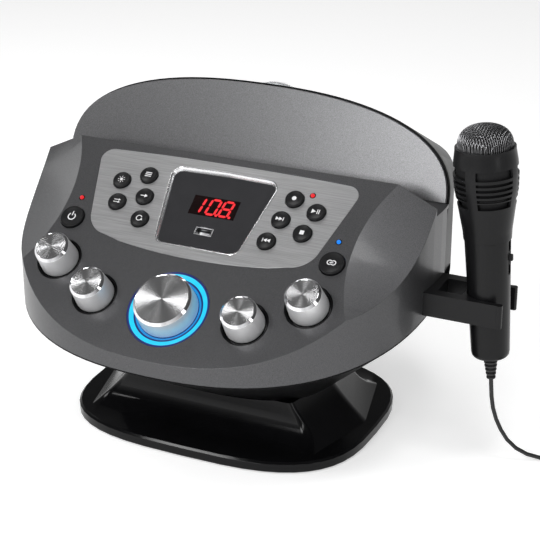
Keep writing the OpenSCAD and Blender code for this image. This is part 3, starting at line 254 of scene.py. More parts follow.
def rest_lacquer(colours):
    """Satin grey of the rest, with a fine sandy texture."""
    material, tree, shader = plain("Satin grey lacquer", colours.rest_grey, 0.32, 0.65, 0.0)
    sand = add_noise(tree, 1900, 3)
    ramp = add_ramp(tree, sand.outputs["Fac"], shade(colours.rest_grey, 0.78),
                    shade(colours.rest_grey, 1.25), 0.35, 0.65)
    tree.links.new(ramp.outputs["Color"], shader.inputs["Base Color"])
    add_bump(tree, shader, sand.outputs["Fac"], 0.12)
    return material


def brushed_trim(colours):
    """Silver plate brushed across."""
    material, tree, shader = plain("Brushed trim", colours.trim_silver, 0.36, 0.85)
    lines = add_noise(tree, 2600, 4, stretch=(70, 1, 1), turn=(PANEL_SLOPE, 0, 0))
    ramp = add_ramp(tree, lines.outputs["Fac"], shade(colours.trim_silver, 0.8),
                    shade(colours.trim_silver, 1.16), 0.3, 0.7)
    tree.links.new(ramp.outputs["Color"], shader.inputs["Base Color"])
    add_roughness(tree, shader, lines.outputs["Fac"], 0.3, 0.44)
    return material


def spun_metal(name, colour, roughness, anisotropy, turned=0.0, metallic=1.0):
    """Metal turned on a lathe; its grain runs round the knob along the piece's own UV map."""
    material, tree, shader = plain(name, colour, roughness, metallic)
    shader.inputs["Anisotropic"].default_value = anisotropy
    shader.inputs["Anisotropic Rotation"].default_value = turned
    tangent = tree.nodes.new("ShaderNodeTangent")
    tangent.direction_type = "UV_MAP"
    tangent.uv_map = "UVMap"
    tree.links.new(tangent.outputs["Tangent"], shader.inputs["Tangent"])
    place = tree.nodes.new("ShaderNodeUVMap")
    place.uv_map = "UVMap"
    mapping = tree.nodes.new("ShaderNodeMapping")
    mapping.inputs["Scale"].default_value = (0.5, 900, 1)
    noise = tree.nodes.new("ShaderNodeTexNoise")
    noise.inputs["Scale"].default_value = 1.0
    noise.inputs["Detail"].default_value = 3
    tree.links.new(place.outputs["UV"], mapping.inputs["Vector"])
    tree.links.new(mapping.outputs["Vector"], noise.inputs["Vector"])
    ramp = add_ramp(tree, noise.outputs["Fac"], shade(colour, 0.88), shade(colour, 1.08))
    tree.links.new(ramp.outputs["Color"], shader.inputs["Base Color"])
    return material


def polished_metal():
    """Mirror-bright rim of a knob."""
    return mottled("Polished metal", (0.82, 0.82, 0.84), 0.08, 300, spread=0.03, grain=0.0, metallic=1.0)


def glowing(name, colour, strength, base=(0.02, 0.02, 0.03)):
    """A lit light guide or lamp, a little uneven."""
    material, tree, shader = plain(name, base, 0.3, specular=0.15)
    noise = add_noise(tree, 220)
    ramp = add_ramp(tree, noise.outputs["Fac"], shade(colour, 0.86), colour)
    tree.links.new(ramp.outputs["Color"], shader.inputs["Emission Color"])
    shader.inputs["Emission Strength"].default_value = strength
    return material


def clear_plastic():
    """Clear faceted cap of the light dome."""
    material, tree, shader = plain("Clear moulding", (0.93, 0.95, 0.97), 0.04)
    shader.inputs["Transmission Weight"].default_value = 0.9
    shader.inputs["IOR"].default_value = 1.49
    noise = add_noise(tree, 120)
    add_roughness(tree, shader, noise.outputs["Fac"], 0.02, 0.07)
    return material


def smoked_window():
    """Dark glossy window of the display."""
    return mottled("Smoked window", (0.026, 0.026, 0.028), 0.14, 80, spread=0.05, grain=0.0, specular=0.4)


def build_materials():
    """One material for each slot of the record, and those of the new pieces."""
    colours = bpy.context.scene.karaoke_colours
    return {
        "black_gloss": gloss_black(), "black_matte": matte_black(), "grey_metallic": panel_lacquer(colours),
        "grey_rest": rest_lacquer(colours), "brushed_plate": brushed_trim(colours),
        "smoked_window": smoked_window(),
        "red_display": mottled("Dark red filter", (0.006, 0.0025, 0.0025), 0.2, 90, grain=0.0, specular=0.2),
        "socket_steel": mottled("Pressed steel", (0.42, 0.42, 0.43), 0.3, 500, metallic=1.0),
        "zinc_steel": mottled("Zinc plate", (0.4, 0.41, 0.42), 0.38, 70, spread=0.25, grain=0.05,
                              metallic=0.9),
        "circuit_green": mottled("Circuit board", (0.012, 0.09, 0.035), 0.35, 260, spread=0.3),
        "knob_chrome": spun_metal("Spun side", (0.84, 0.84, 0.85), 0.36, 0.5, 0.25, metallic=0.68),
        "cyan_light": glowing("Ring light", tuple(colours.ring_blue), 1.15),
        "lamp_red": glowing("Red lamp", (1.0, 0.01, 0.008), 0.9),
        "inner_blue": glowing("Ring step", (0.0, 0.28, 0.72), 1.0),
        "lamp_white": mottled("Lamp board", (0.6, 0.6, 0.6), 0.4, 300),
        "clear_dome": clear_plastic(), "gear_nylon": mottled("Nylon", (0.62, 0.6, 0.52), 0.42, 500),
        "speaker_black": mottled("Coated cone", (0.02, 0.02, 0.021), 0.6, 800, grain=0.4),
        "battery_blue": mottled("Shrink sleeve", (0.02, 0.05, 0.18), 0.3, 120, coat=0.2),
        "socket_black": mottled("Socket body", (0.013, 0.013, 0.014), 0.4, 700),
        "mic_satin": mottled("Satin microphone", (0.0045, 0.0045, 0.005), 0.3, 900, grain=0.05, ior=1.3),
        "mesh_steel": mottled("Dark wire", (0.16, 0.16, 0.165), 0.3, 900, metallic=0.9),
        "pad_rubber": mottled("Pad rubber", (0.018, 0.018, 0.018), 0.62, 700, spread=0.2, grain=0.3),
        "lead_rubber": mottled("Lead sheath", (0.009, 0.009, 0.0095), 0.38, 600, grain=0.1),
        "spun_face": spun_metal("Spun face", (0.84, 0.84, 0.85), 0.25, 0.85),
        "polished": polished_metal(), "satin_black": satin_black(),
        "deep_black": deep_black(),
        "icon_white": mottled("Printed white", (0.62, 0.62, 0.63), 0.5, 600, spread=0.05),
        "deep_blue": glowing("Ring shade", (0.0, 0.012, 0.16), 0.9),
        "lamp_blue": glowing("Blue lamp", (0.0, 0.25, 1.0), 1.1),
        "digits": glowing("Lit digits", tuple(colours.digit_red), 1.15),
        "window_bezel": mottled("Bevelled frame", (0.72, 0.72, 0.73), 0.22, 700, spread=0.05, metallic=0.9),
    }


MATERIALS = {}
SLOT_OF = {part["node"]: part["material_slot"] for part in frame["record"]["subparts"]}


# Mesh helpers

def finish_piece(name, bm, material, body, replaced=(), smooth=35, extra=()):
    """Turns a bmesh into a piece that rides on a body and stands for its CAD nodes."""
    mesh = bpy.data.meshes.new(name)
    bm.to_mesh(mesh)
    bm.free()
    piece = bpy.data.objects.new(name, mesh)
    bpy.context.scene.collection.objects.link(piece)
    for key in (material, *extra):
        mesh.materials.append(MATERIALS[key])
    mesh.shade_smooth()
    mesh.set_sharp_from_angle(angle=math.radians(smooth))
    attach(piece, body)
    if replaced:
        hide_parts(*replaced)
    return piece


def copy_node(node):
    """A node's mesh with its loose triangles merged into whole faces."""
    bm = bmesh.new()
    bm.from_mesh(NODES[node].data)
    bmesh.ops.remove_doubles(bm, verts=bm.verts, dist=NODE_SEAM)
    bmesh.ops.dissolve_limit(bm, angle_limit=FLAT_ANGLE, verts=bm.verts, edges=bm.edges)
    return bm


def round_edges(piece, width, angle=32, segments=2):
    """Rounds a piece's sharp edges with a live bevel that keeps its flat faces flat."""
    bevel = piece.modifiers.new("Rounded edges", "BEVEL")
    bevel.width = width
    bevel.segments = segments
    bevel.limit_method = "ANGLE"
    bevel.angle_limit = math.radians(angle)
    bevel.loop_slide = False
    weights = piece.modifiers.new("Flat faces", "WEIGHTED_NORMAL")
    weights.keep_sharp = True
    weights.weight = 80


def dress_node(node, name, width, material=None, angle=32, segments=2, smooth=40):
    """A node's own form with rounded edges and its finish."""
    slot = SLOT_OF[node]
    piece = finish_piece(name, copy_node(node), material or slot, BODY_OF[node], (node,), smooth)
    if width:
        round_edges(piece, width, angle, segments)
    return piece


def turn_profile(profile, segments):
    """A bmesh turned about Z from radius and height pairs in metres."""
    bm = bmesh.new()
    verts = [bm.verts.new((radius, 0, height)) for radius, height in profile]
    edges = [bm.edges.new(pair) for pair in zip(verts, verts[1:])]
    bmesh.ops.spin(bm, geom=verts + edges, cent=(0, 0, 0), axis=(0, 0, 1), dvec=(0, 0, 0),
                   angle=2 * math.pi, steps=segments, use_merge=True)
    bmesh.ops.remove_doubles(bm, verts=bm.verts, dist=PROFILE_SEAM)
    bmesh.ops.recalc_face_normals(bm, faces=bm.faces)
    return bm


def map_round(bm):
    """Gives each face UVs that run round the Z axis and along the profile."""
    layer = bm.loops.layers.uv.new("UVMap")
    for face in bm.faces:
        middle = face.calc_center_median()
        base = math.atan2(middle.y, middle.x)
        for loop in face.loops:
            spot = loop.vert.co
            angle = math.atan2(spot.y, spot.x) if spot.to_2d().length > 1e-6 else base
            angle = base + (angle - base + math.pi) % (2 * math.pi) - math.pi
            loop[layer].uv = (angle / (2 * math.pi), (spot.to_2d().length - spot.z) * 20)


def add_prism(bm, outline, height):
    """Adds a prism that stands on an outline of X and Y pairs to a bmesh."""
    verts = [bm.verts.new((x, y, 0)) for x, y in outline]
    face = bm.faces.new(verts)
    grown = bmesh.ops.extrude_face_region(bm, geom=[face])
    tops = [item for item in grown["geom"] if isinstance(item, bmesh.types.BMVert)]
    bmesh.ops.translate(bm, verts=tops, vec=(0, 0, height))
    return bm


def bridge_outlines(levels):
    """A bmesh of bands between closed outlines, each with its height, in millimetres."""
    bm = bmesh.new()
    loops = []
    for outline, height in levels:
        verts = [bm.verts.new((x * MM, y * MM, height * MM)) for x, y in outline]
        loops.append([bm.edges.new((a, b)) for a, b in zip(verts, verts[1:] + verts[:1])])
    for lower, upper in zip(loops, loops[1:]):
        bmesh.ops.bridge_loops(bm, edges=lower + upper)
    return bm


def place(bm, matrix):
    """Moves a bmesh to its place, its faces pointing outwards."""
    bmesh.ops.recalc_face_normals(bm, faces=bm.faces)
    bmesh.ops.transform(bm, matrix=matrix, verts=bm.verts)
    return bm


def add_wire(bm, path, radius, sides=4):
    """Adds a thin wire along points to a bmesh."""
    before = None
    for index, point in enumerate(path):
        ahead = (path[min(index + 1, len(path) - 1)] - path[max(index - 1, 0)]).normalized()
        side = ahead.cross(Vector((0, 0, 1))).normalized()
        up = side.cross(ahead)
        ring = [bm.verts.new(point + radius * (side * math.cos(turn) + up * math.sin(turn)))
                for turn in (2 * math.pi * step / sides for step in range(sides))]
        if before:
            for step in range(sides):
                bm.faces.new((before[step], before[(step + 1) % sides], ring[(step + 1) % sides], ring[step]))
        else:
            bm.faces.new(ring[::-1])
        before = ring
    bm.faces.new(before)


# Microphone lead

# Sizes and places of the lead, in millimetres, and first its route from the strain relief to the coil
LEAD_ROUTE = [(200.6, -1, 52), (202, -0.5, 43), (204.5, 0.5, 34), (208, 2, 25.5), (212.5, 4, 17.5),
              (218.5, 7, 10.5), (226, 10.5, 5.5), (234.5, 14.5, 2.6), (243.5, 18.5, 1.6), (253, 21.8, 1.5),
              (263, 24, 1.5), (273, 25, 1.5), (282, 25, 1.5), (290, 25, 1.5)]
COIL_MIDDLE = (290, 0)
COIL_RADIUS = 25
COIL_STEP = (3.5, 3.45)
COIL_TURNS = 15.75
COIL_RINGS = 24
COIL_RUN = 3.75
COIL_LAP = 4
# Share of a turn in which the coil climbs to its next layer
COIL_CLIMB = 0.5
LEAD_RADIUS = 1.5
# Height of the plug's axis, its distance from the coil's end, and how far the lead runs into it
PLUG_HEIGHT = 7.2
PLUG_GAP = 34
PLUG_ENTRY = 8
# The lead's steps from the coil's end down to the table, then up into the plug
TAIL_STEPS = ((0, 5, 0), (0, 10, -0.3), (0, 15, -1.2), (0, 20, -2.5))


def coil_point(turn):
    """A point of the coil, in millimetres, after a number of turns."""
    inner = COIL_RADIUS - COIL_STEP[0] * COIL_RUN
    if turn < COIL_RUN:
        reach = COIL_RADIUS - COIL_STEP[0] * turn
    else:
        reach = inner + COIL_STEP[0] * abs((turn - COIL_RUN + COIL_LAP) % (2 * COIL_LAP) - COIL_LAP)
    lap, share = divmod((turn + COIL_CLIMB) / COIL_LAP, 1)
    layer = 0 if lap == 0 else lap - 1 + min(1, share * COIL_LAP / COIL_CLIMB)
    angle = math.radians(90 - 360 * turn)
    return Vector((COIL_MIDDLE[0] + reach * math.cos(angle), COIL_MIDDLE[1] + reach * math.sin(angle),
                   LEAD_RADIUS + COIL_STEP[1] * layer))


def lead_points():
    """The whole lead's route in metres, from its exit to the plug."""
    way = Vector((math.sin(MIC_LEAN), 0, -math.cos(MIC_LEAN)))
    start = (MIC_FOOT + way * RELIEF_LENGTH) / MM
    points = [start, start + way * 4] + [Vector(point) for point in LEAD_ROUTE]
    points += [coil_point(ring / COIL_RINGS) for ring in range(1, int(COIL_RINGS * COIL_TURNS) + 1)]
    end = coil_point(COIL_TURNS)
    points += [end + Vector(step) for step in TAIL_STEPS]
    points += [Vector((end.x, end.y + 25, PLUG_HEIGHT + 0.8)), Vector((end.x, end.y + 30, PLUG_HEIGHT)),
               Vector((end.x, end.y + PLUG_GAP, PLUG_HEIGHT)),
               Vector((end.x, end.y + PLUG_GAP + PLUG_ENTRY, PLUG_HEIGHT))]
    return [point * MM for point in points]


def tube_along(points, radius, sides):
    """A round tube along points, its rings carried along without twist."""
    bm = bmesh.new()
    rings = []
    across = Vector((0, 1, 0))
    for index, point in enumerate(points):
        ahead = (points[min(index + 1, len(points) - 1)] - points[max(index - 1, 0)]).normalized()
        across = (across - ahead * across.dot(ahead)).normalized()
        other = ahead.cross(across)
        ring = [bm.verts.new(point + radius * (across * math.cos(turn) + other * math.sin(turn)))
                for turn in (2 * math.pi * side / sides for side in range(sides))]
        edges = [bm.edges.new((ring[side], ring[(side + 1) % sides])) for side in range(sides)]
        if rings:
            bmesh.ops.bridge_loops(bm, edges=rings[-1] + edges)
        rings.append(edges)
    bmesh.ops.holes_fill(bm, edges=rings[0] + rings[-1])
    bmesh.ops.recalc_face_normals(bm, faces=bm.faces)
    return bm


class KARAOKE_OT_lead(bpy.types.Operator):
    """Make the microphone's lead with its strain relief, coil and plug"""
    bl_idname = "karaoke.lead"
    bl_label = "Lead"

    def execute(self, context):
        sizes = context.scene.karaoke_sizes
        points = lead_points()
        bm = tube_along(points, sizes.lead_diameter / 2, 10)
        lead = finish_piece("microphone_lead", bm, "lead_rubber", "body",
                            ("mic_lead", "lead_coil"), smooth=80)
        relief = self.make_relief()
        plug = dress_node("mic_plug", "lead_plug", 0.0003, smooth=30)
        return {"FINISHED"}

    def make_relief(self):
        """Ribbed and tapered sleeve where the lead leaves the handle."""
        ribs = 6
        foot, top = 0.0030, 0.0053
        crest, groove = 0.0001, -0.0006
        profile = [(0, 0), (foot + groove, 0)]
        for rib in range(ribs):
            for share, step in ((0.1, crest), (0.5, crest), (0.62, groove), (0.92, groove)):
                along = (rib + share) / ribs
                profile.append((foot + (top - foot) * along + step, RELIEF_LENGTH * along))
        profile += [(top, RELIEF_LENGTH), (0, RELIEF_LENGTH)]
        bm = place(turn_profile(profile, 40), on_mic(-RELIEF_LENGTH))
        return finish_piece("strain_sleeve", bm, "lead_rubber", "body", ("strain_relief",), 50)


# Case

class KARAOKE_OT_case(bpy.types.Operator):
    """Finish the shells, the tablet rest, the pedestal and the holder"""
    bl_idname = "karaoke.case"
    bl_label = "Case"

    def execute(self, context):
        edge = context.scene.karaoke_sizes.case_edge
        dress_node("pedestal", "pedestal_form", edge * 1.6, angle=28, segments=3)
        dress_node("lower_shell", "lower_case", edge * 0.6, "deep_black", angle=38)
        dress_node("top_shell", "upper_case", edge * 1.5, angle=12, segments=3, smooth=11)
        dress_node("rear_shell", "rear_case", edge, "deep_black", angle=38)
        dress_node("tablet_rest", "rest_plate", edge * 0.7, angle=40)
        dress_node("mic_holder", "holder_fork", edge * 0.7, "satin_black", angle=32)
        dress_node("socket_panel", "socket_recess", 0)
        dress_node("base_pad", "foot_pad", 0)
        return {"FINISHED"}


# Outlines

def arc_points(middle, radius, start, end, steps=8):
    """Points on an arc, in millimetres and degrees."""
    turns = [math.radians(start + (end - start) * step / steps) for step in range(steps + 1)]
    return [(middle[0] + radius * math.cos(turn), middle[1] + radius * math.sin(turn)) for turn in turns]


def bar(x, y, width, height):
    """A rectangle round a middle."""
    return [(x - width / 2, y - height / 2), (x + width / 2, y - height / 2),
            (x + width / 2, y + height / 2), (x - width / 2, y + height / 2)]


def arrow(x, size, way=1):
    """A triangle that points along the way, its corners always in the same sense."""
    back, tip = x - way * size / 2, x + way * size / 2
    return [(back, -size * 0.55), (tip, 0), (back, size * 0.55)][::way]


def ring_band(middle, radius, width, start, end, steps=20):
    """A band along an arc."""
    outer = arc_points(middle, radius + width / 2, start, end, steps)
    inner = arc_points(middle, radius - width / 2, end, start, steps)
    return outer + inner


def turned(outline, degrees):
    """An outline turned about the middle."""
    cos, sin = math.cos(math.radians(degrees)), math.sin(math.radians(degrees))
    return [(x * cos - y * sin, x * sin + y * cos) for x, y in outline]


# Control panel

# The window's corners in millimetres: their radius, and the middles of the upper and lower right one
WINDOW_CORNER = 8
WINDOW_HEAD = (34, 103.6)
WINDOW_FOOT = (26, 54.5)
# How much the middle of the window's upper edge bows out
WINDOW_BOW = 0.8
# Depth of the window under the trim plate
WINDOW_DEPTH = 3
# The frame's steps from the trim plate to the window: how far in and how high, in millimetres
BEZEL_STEPS = ((0.05, 0.02), (0.5, 0.25), (1.0, 0.0), (2.1, -2.98))
# The socket's place up the slope and its mouth, and its rim's steps out and up
SOCKET_UP = 63
SOCKET_MOUTH = (12.3, 4.9)
RIM_STEPS = ((0.0, -0.6), (0.0, 0.25), (0.15, 0.35), (0.55, 0.35), (0.7, 0.25), (0.7, 0.0))
# The display's place up the slope, its filter, and the depths of the digits and the filter
DISPLAY_UP = 83.6
FILTER_SIZE = (35.8, 15.8)
DIGIT_DEPTH = 3.04
FILTER_DEPTH = 3.35
DIGIT_THICKNESS = 0.0002
FILTER_THICKNESS = 0.0003


def window_outline(inset=0.0):
    """The display window's outline on the panel, drawn in by inset."""
    half = [(0, WINDOW_FOOT[1] - WINDOW_CORNER + inset)]
    half += arc_points(WINDOW_FOOT, WINDOW_CORNER - inset, -90, -10)
    half += arc_points(WINDOW_HEAD, WINDOW_CORNER - inset, -8, 88)
    half += [(0, WINDOW_HEAD[1] + WINDOW_CORNER - inset + WINDOW_BOW)]
    return half + [(-x, y) for x, y in half[-2:0:-1]]


# Segments of a digit: middle across and up, and whether it lies flat, on a digit one wide and two high
SEGMENTS = {"a": (0, 2, True), "b": (0.5, 1.5, False), "c": (0.5, 0.5, False), "d": (0, 0, True),
            "e": (-0.5, 0.5, False), "f": (-0.5, 1.5, False), "g": (0, 1, True)}
DIGITS = {"0": "abcdef", "1": "bc", "8": "abcdefg"}
# The digits shown, whether a point follows, and where each stands across, in millimetres
READOUT = (("1", False, -12.6), ("0", True, -0.6), ("8", True, 9.6))
# A segment's length and width, and the point's place and size, as shares of half a bar
SEGMENT_REACH = 1.02
SEGMENT_WIDTH = 0.56
SEGMENT_SPREAD = 2.25
POINT_ACROSS = 1.75
POINT_SIZE = 0.6


def segment_outline(middle_x, middle_y, flat, half, width):
    """A pointed bar of a digit."""
    tip = half - width * 0.12
    bar = [(-tip, 0), (-tip + width / 2, width / 2), (tip - width / 2, width / 2), (tip, 0),
           (tip - width / 2, -width / 2), (-tip + width / 2, -width / 2)]
    if not flat:
        bar = [(-y, x) for x, y in bar]
    return [(middle_x + x, middle_y + y) for x, y in bar]


class KARAOKE_OT_panel(bpy.types.Operator):
    """Make the trim plate, the display window with its lit digits and the sockets of the panel"""
    bl_idname = "karaoke.panel"
    bl_label = "Panel"

    def execute(self, context):
        dress_node("trim_plate", "trim_plate_brushed", 0.0002, angle=40)
        dress_node("display_window", "window_pane", 0)
        dress_node("usb_socket", "usb_shell", 0)
        self.make_bezel()
        self.make_digits(context.scene.karaoke_sizes)
        self.make_socket_rim()
        return {"FINISHED"}

    def make_bezel(self):
        """Bevelled frame that slopes from the trim plate down to the window."""
        bm = bridge_outlines([(window_outline(inset), height) for inset, height in BEZEL_STEPS])
        place(bm, on_panel(0, 0))
        for face in bm.faces:
            if face.normal.dot(PANEL_NORMAL) < 0:
                face.normal_flip()
        finish_piece("window_frame", bm, "window_bezel", "body", smooth=50)

    def make_digits(self, sizes):
        """Slanted digits behind the window, with their points."""
        bm = bmesh.new()
        half = sizes.digit_height / 4 / MM * 0.98
        width = half * SEGMENT_WIDTH
        lean = math.tan(sizes.digit_slant)
        for digit, pointed, across in READOUT:
            for key in DIGITS[digit]:
                x, y, flat = SEGMENTS[key]
                outline = segment_outline(x * SEGMENT_SPREAD * half, (y - 1) * 2 * half, flat,
                                          half * SEGMENT_REACH, width)
                leaning = [((across + px + py * lean) * MM, py * MM) for px, py in outline]
                add_prism(bm, leaning, DIGIT_THICKNESS)
            if pointed:
                foot = -2 * half
                middle = (across + POINT_ACROSS * half + foot * lean, foot)
                dot = arc_points(middle, width * POINT_SIZE, 0, 345, 23)
                add_prism(bm, [(px * MM, py * MM) for px, py in dot], DIGIT_THICKNESS)
        place(bm, on_panel(0, DISPLAY_UP, -DIGIT_DEPTH))
        finish_piece("display_digits", bm, "digits", "body")
        outline = [(x * MM, y * MM) for x, y in bar(0, 0, *FILTER_SIZE)]
        pane = add_prism(bmesh.new(), outline, FILTER_THICKNESS)
        place(pane, on_panel(0, DISPLAY_UP, -FILTER_DEPTH))
        finish_piece("display_filter", pane, "red_display", "body")

    def make_socket_rim(self):
        """Bright edge of the socket in the window."""
        across, up = SOCKET_MOUTH
        bm = bridge_outlines([(bar(0, 0, across + 2 * grow, up + 2 * grow), height)
                              for grow, height in RIM_STEPS])
        place(bm, on_panel(0, SOCKET_UP, -WINDOW_DEPTH))
        finish_piece("socket_rim", bm, "socket_steel", "body")


# Buttons

# Icons as outlines, on a field one unit wide to each side
ICONS = {
    "power": [ring_band((0, -0.05), 0.72, 0.2, 125, 415), bar(0, 0.62, 0.2, 0.95)],
    "pair": [ring_band((-0.36, 0), 0.44, 0.17, 38, 322), ring_band((0.36, 0), 0.44, 0.17, -142, 142),
             bar(0, 0, 0.7, 0.17)],
    "lights": [arc_points((0, 0), 0.34, 0, 345, 23)]
    + [turned(bar(0.69, 0, 0.34, 0.12), degrees) for degrees in range(0, 360, 45)],
    "mode": [bar(0, 0.45, 1.5, 0.2), bar(0, 0, 1.5, 0.2), bar(0, -0.45, 1.5, 0.2)],
    "random": [bar(-0.1, 0.3, 1.2, 0.16), bar(-0.1, -0.3, 1.2, 0.16),
               [(0.45, 0.02), (0.95, 0.3), (0.45, 0.58)], [(0.45, -0.58), (0.95, -0.3), (0.45, -0.02)]],
    "skip": [bar(-0.25, 0, 1.1, 0.18), [(0.2, -0.45), (0.9, 0), (0.2, 0.45)]],
    "repeat": [ring_band((0, 0), 0.62, 0.18, 20, 320), [(0.3, -0.52), (0.95, -0.5), (0.62, 0.05)]],
    "record": [arc_points((0, 0), 0.5, 0, 345, 23)],
    "play": [arrow(-0.45, 0.95), bar(0.35, 0, 0.2, 1.05), bar(0.75, 0, 0.2, 1.05)],
    "next": [arrow(-0.6, 0.8), arrow(0.15, 0.8), bar(0.72, 0, 0.16, 0.9)],
    "stop": [bar(0, 0, 0.95, 0.95)],
    "previous": [arrow(0.6, 0.8, -1), arrow(-0.15, 0.8, -1), bar(-0.72, 0, 0.16, 0.9)],
}


# Radii of a small and a large cap, and how much wider a large cap's icon is
SMALL_CAP = 0.0066
LARGE_CAP = 0.0089
LARGE_ICON = 1.15
# A cap's height over the panel, its foot under it, its shoulder in millimetres, and its dish
CAP_RISE = 0.0022
CAP_FOOT = -0.0034
CAP_SHOULDER = 0.7
DISH_EDGE = 0.00012
DISH_DEPTH = 0.00018
ICON_THICKNESS = 0.00005


class KARAOKE_OT_buttons(bpy.types.Operator):
    """Make the domed buttons with their icons"""
    bl_idname = "karaoke.buttons"
    bl_label = "Buttons"

    def execute(self, context):
        sizes = context.scene.karaoke_sizes
        for name in SMALL_BUTTONS:
            self.make_button(name, SMALL_CAP, sizes.icon_width / 2)
        for name in LARGE_BUTTONS:
            self.make_button(name, LARGE_CAP, sizes.icon_width / 2 * LARGE_ICON)
        return {"FINISHED"}

    def make_button(self, name, radius, reach):
        """A cap with a rounded shoulder, a shallow dish and a printed icon."""
        middle = (radius / MM - CAP_SHOULDER, CAP_RISE / MM - CAP_SHOULDER)
        shoulder = arc_points(middle, CAP_SHOULDER, 0, 84, 6)
        profile = [(0, CAP_FOOT), (radius, CAP_FOOT)] + [(r * MM, h * MM) for r, h in shoulder]
        profile += [(radius * 0.84, CAP_RISE), (radius * 0.8, CAP_RISE - DISH_EDGE),
                    (0, CAP_RISE - DISH_DEPTH)]
        bm = turn_profile(profile, 48)
        place(bm, at_joint(name + "_press"))
        body = name + "_button"
        finish_piece("cap_" + name, bm, "satin_black", body, (body,), 40)
        icon = bmesh.new()
        for outline in ICONS[name]:
            add_prism(icon, [(x * reach, y * reach) for x, y in outline], ICON_THICKNESS)
        place(icon, at_joint(name + "_press", (CAP_RISE - DISH_EDGE) / MM))
        finish_piece("icon_" + name, icon, "icon_white", body)


# Knobs

# A knob's radius at its foot and at its top, and its height over its joint's point
SMALL_KNOB = (0.0140, 0.0127, 0.0168)
MASTER_KNOB = (0.0216, 0.0208, 0.0136)
# Width and height of the polished rim, the foot under the joint's point, and the foot's wall and groove
KNOB_RIM = 0.0017
KNOB_FLOOR = -0.0016
KNOB_WALL = 0.0022
KNOB_GROOVE = 0.004
# The shaft's radius and its foot, and how far under the face it ends
SHAFT_RADIUS = 0.003
SHAFT_FOOT = -0.015
SHAFT_GAP = 0.006


class KARAOKE_OT_knobs(bpy.types.Operator):
    """Make the spun metal knobs with their polished rims"""
    bl_idname = "karaoke.knobs"
    bl_label = "Knobs"

    def execute(self, context):
        for name in SMALL_KNOBS:
            self.make_knob(name, *SMALL_KNOB)
        self.make_knob("master_knob", *MASTER_KNOB)
        dress_node("knob_wells", "well_cups", 0.0002)
        return {"FINISHED"}

    def make_knob(self, name, foot, top, rise):
        """Side, rim and face each have their own finish on one turned body."""
        rim, floor = KNOB_RIM, KNOB_FLOOR
        profile = [(SHAFT_RADIUS + 0.0002, floor + KNOB_GROOVE),
                   (foot - KNOB_WALL - 0.0003, floor + KNOB_GROOVE), (foot - KNOB_WALL, floor),
                   (foot - 0.0002, floor), (foot, floor + 0.0003), (foot, floor + 0.0012),
                   (top, rise - rim), (top - 0.0001, rise - rim + 0.0001), (top - rim, rise),
                   (top - rim - 0.0002, rise - 0.0001), (0, rise - 0.0001)]
        bm = turn_profile(profile, 96)
        map_round(bm)
        for face in bm.faces:
            middle = face.calc_center_median()
            reach = middle.to_2d().length
            if middle.z > rise - rim + 0.00006 and reach > top - rim - 0.00015:
                face.material_index = 2
            elif middle.z > rise - 0.0003:
                face.material_index = 1
        shaft = turn_profile([(0, SHAFT_FOOT), (SHAFT_RADIUS, SHAFT_FOOT), (SHAFT_RADIUS, rise - SHAFT_GAP),
                              (0, rise - SHAFT_GAP)], 32)
        spot = at_joint(name.replace("_knob", "_turn"))
        bmesh.ops.transform(bm, matrix=spot, verts=bm.verts)
        place(shaft, spot)
        finish_piece(name.replace("_knob", "_shaft"), shaft, "socket_steel", name)
        finish_piece(name.replace("_knob", "_dial"), bm, "knob_chrome", name, (name,), 20,
                     extra=("spun_face", "polished"))


# Lights

# The light guide's section, as radius and height in millimetres, and the radii where its light changes:
# the inner step ends, the bright band begins, the outer wall begins
RING_SECTION = ((4.0, -2.2), (21.9, -2.2), (22.3, -1.6), (23.6, -1.45), (24.2, -1.5), (24.9, -1.2),
                (25.3, -1.0), (28.1, -0.5), (28.5, -0.3), (29.1, 0.1), (29.4, 0.1), (29.5, 0.0),
                (29.5, -3.8), (4.0, -3.8))
RING_FLOOR = 22.0
RING_STEP = 23.6
RING_BAND = (25.0, 28.2)
# Each lamp's name, its place across and up the panel in millimetres, and its light
LAMPS = (("battery", -101.9, 71.6, "lamp_red"), ("record", 69.3, 104.5, "lamp_red"),
         ("pair", 100.3, 71.6, "lamp_blue"))
LAMP_RADIUS = 1.5
LAMP_RISE = 0.2
LAMP_FOOT = -14
COLLAR_SECTION = ((1.62, -0.6), (2.25, -0.6), (2.25, 0.12), (2.1, 0.22), (1.75, 0.2), (1.62, 0.1),
                  (1.62, -0.6))
# The clear cap of the dome, in metres: its radius, rise, skirt and wall, and its count of sides
DOME_RADIUS = 0.022
DOME_RISE = 0.008
DOME_SKIRT = 0.006
DOME_WALL = 0.0025
DOME_SIDES = 10
DOME_GAP = 0.0003
LIGHT_BOARD = 0.002


def dome_ridge(shares, rise):
    """Points on the dome's ball at shares of its radius, for its outer or its inner face."""
    ball = (DOME_RADIUS ** 2 + DOME_RISE ** 2) / (2 * DOME_RISE)
    reaches = [DOME_RADIUS * share for share in shares]
    return [(reach, math.sqrt(ball ** 2 - reach ** 2) - ball + rise) for reach in reaches]


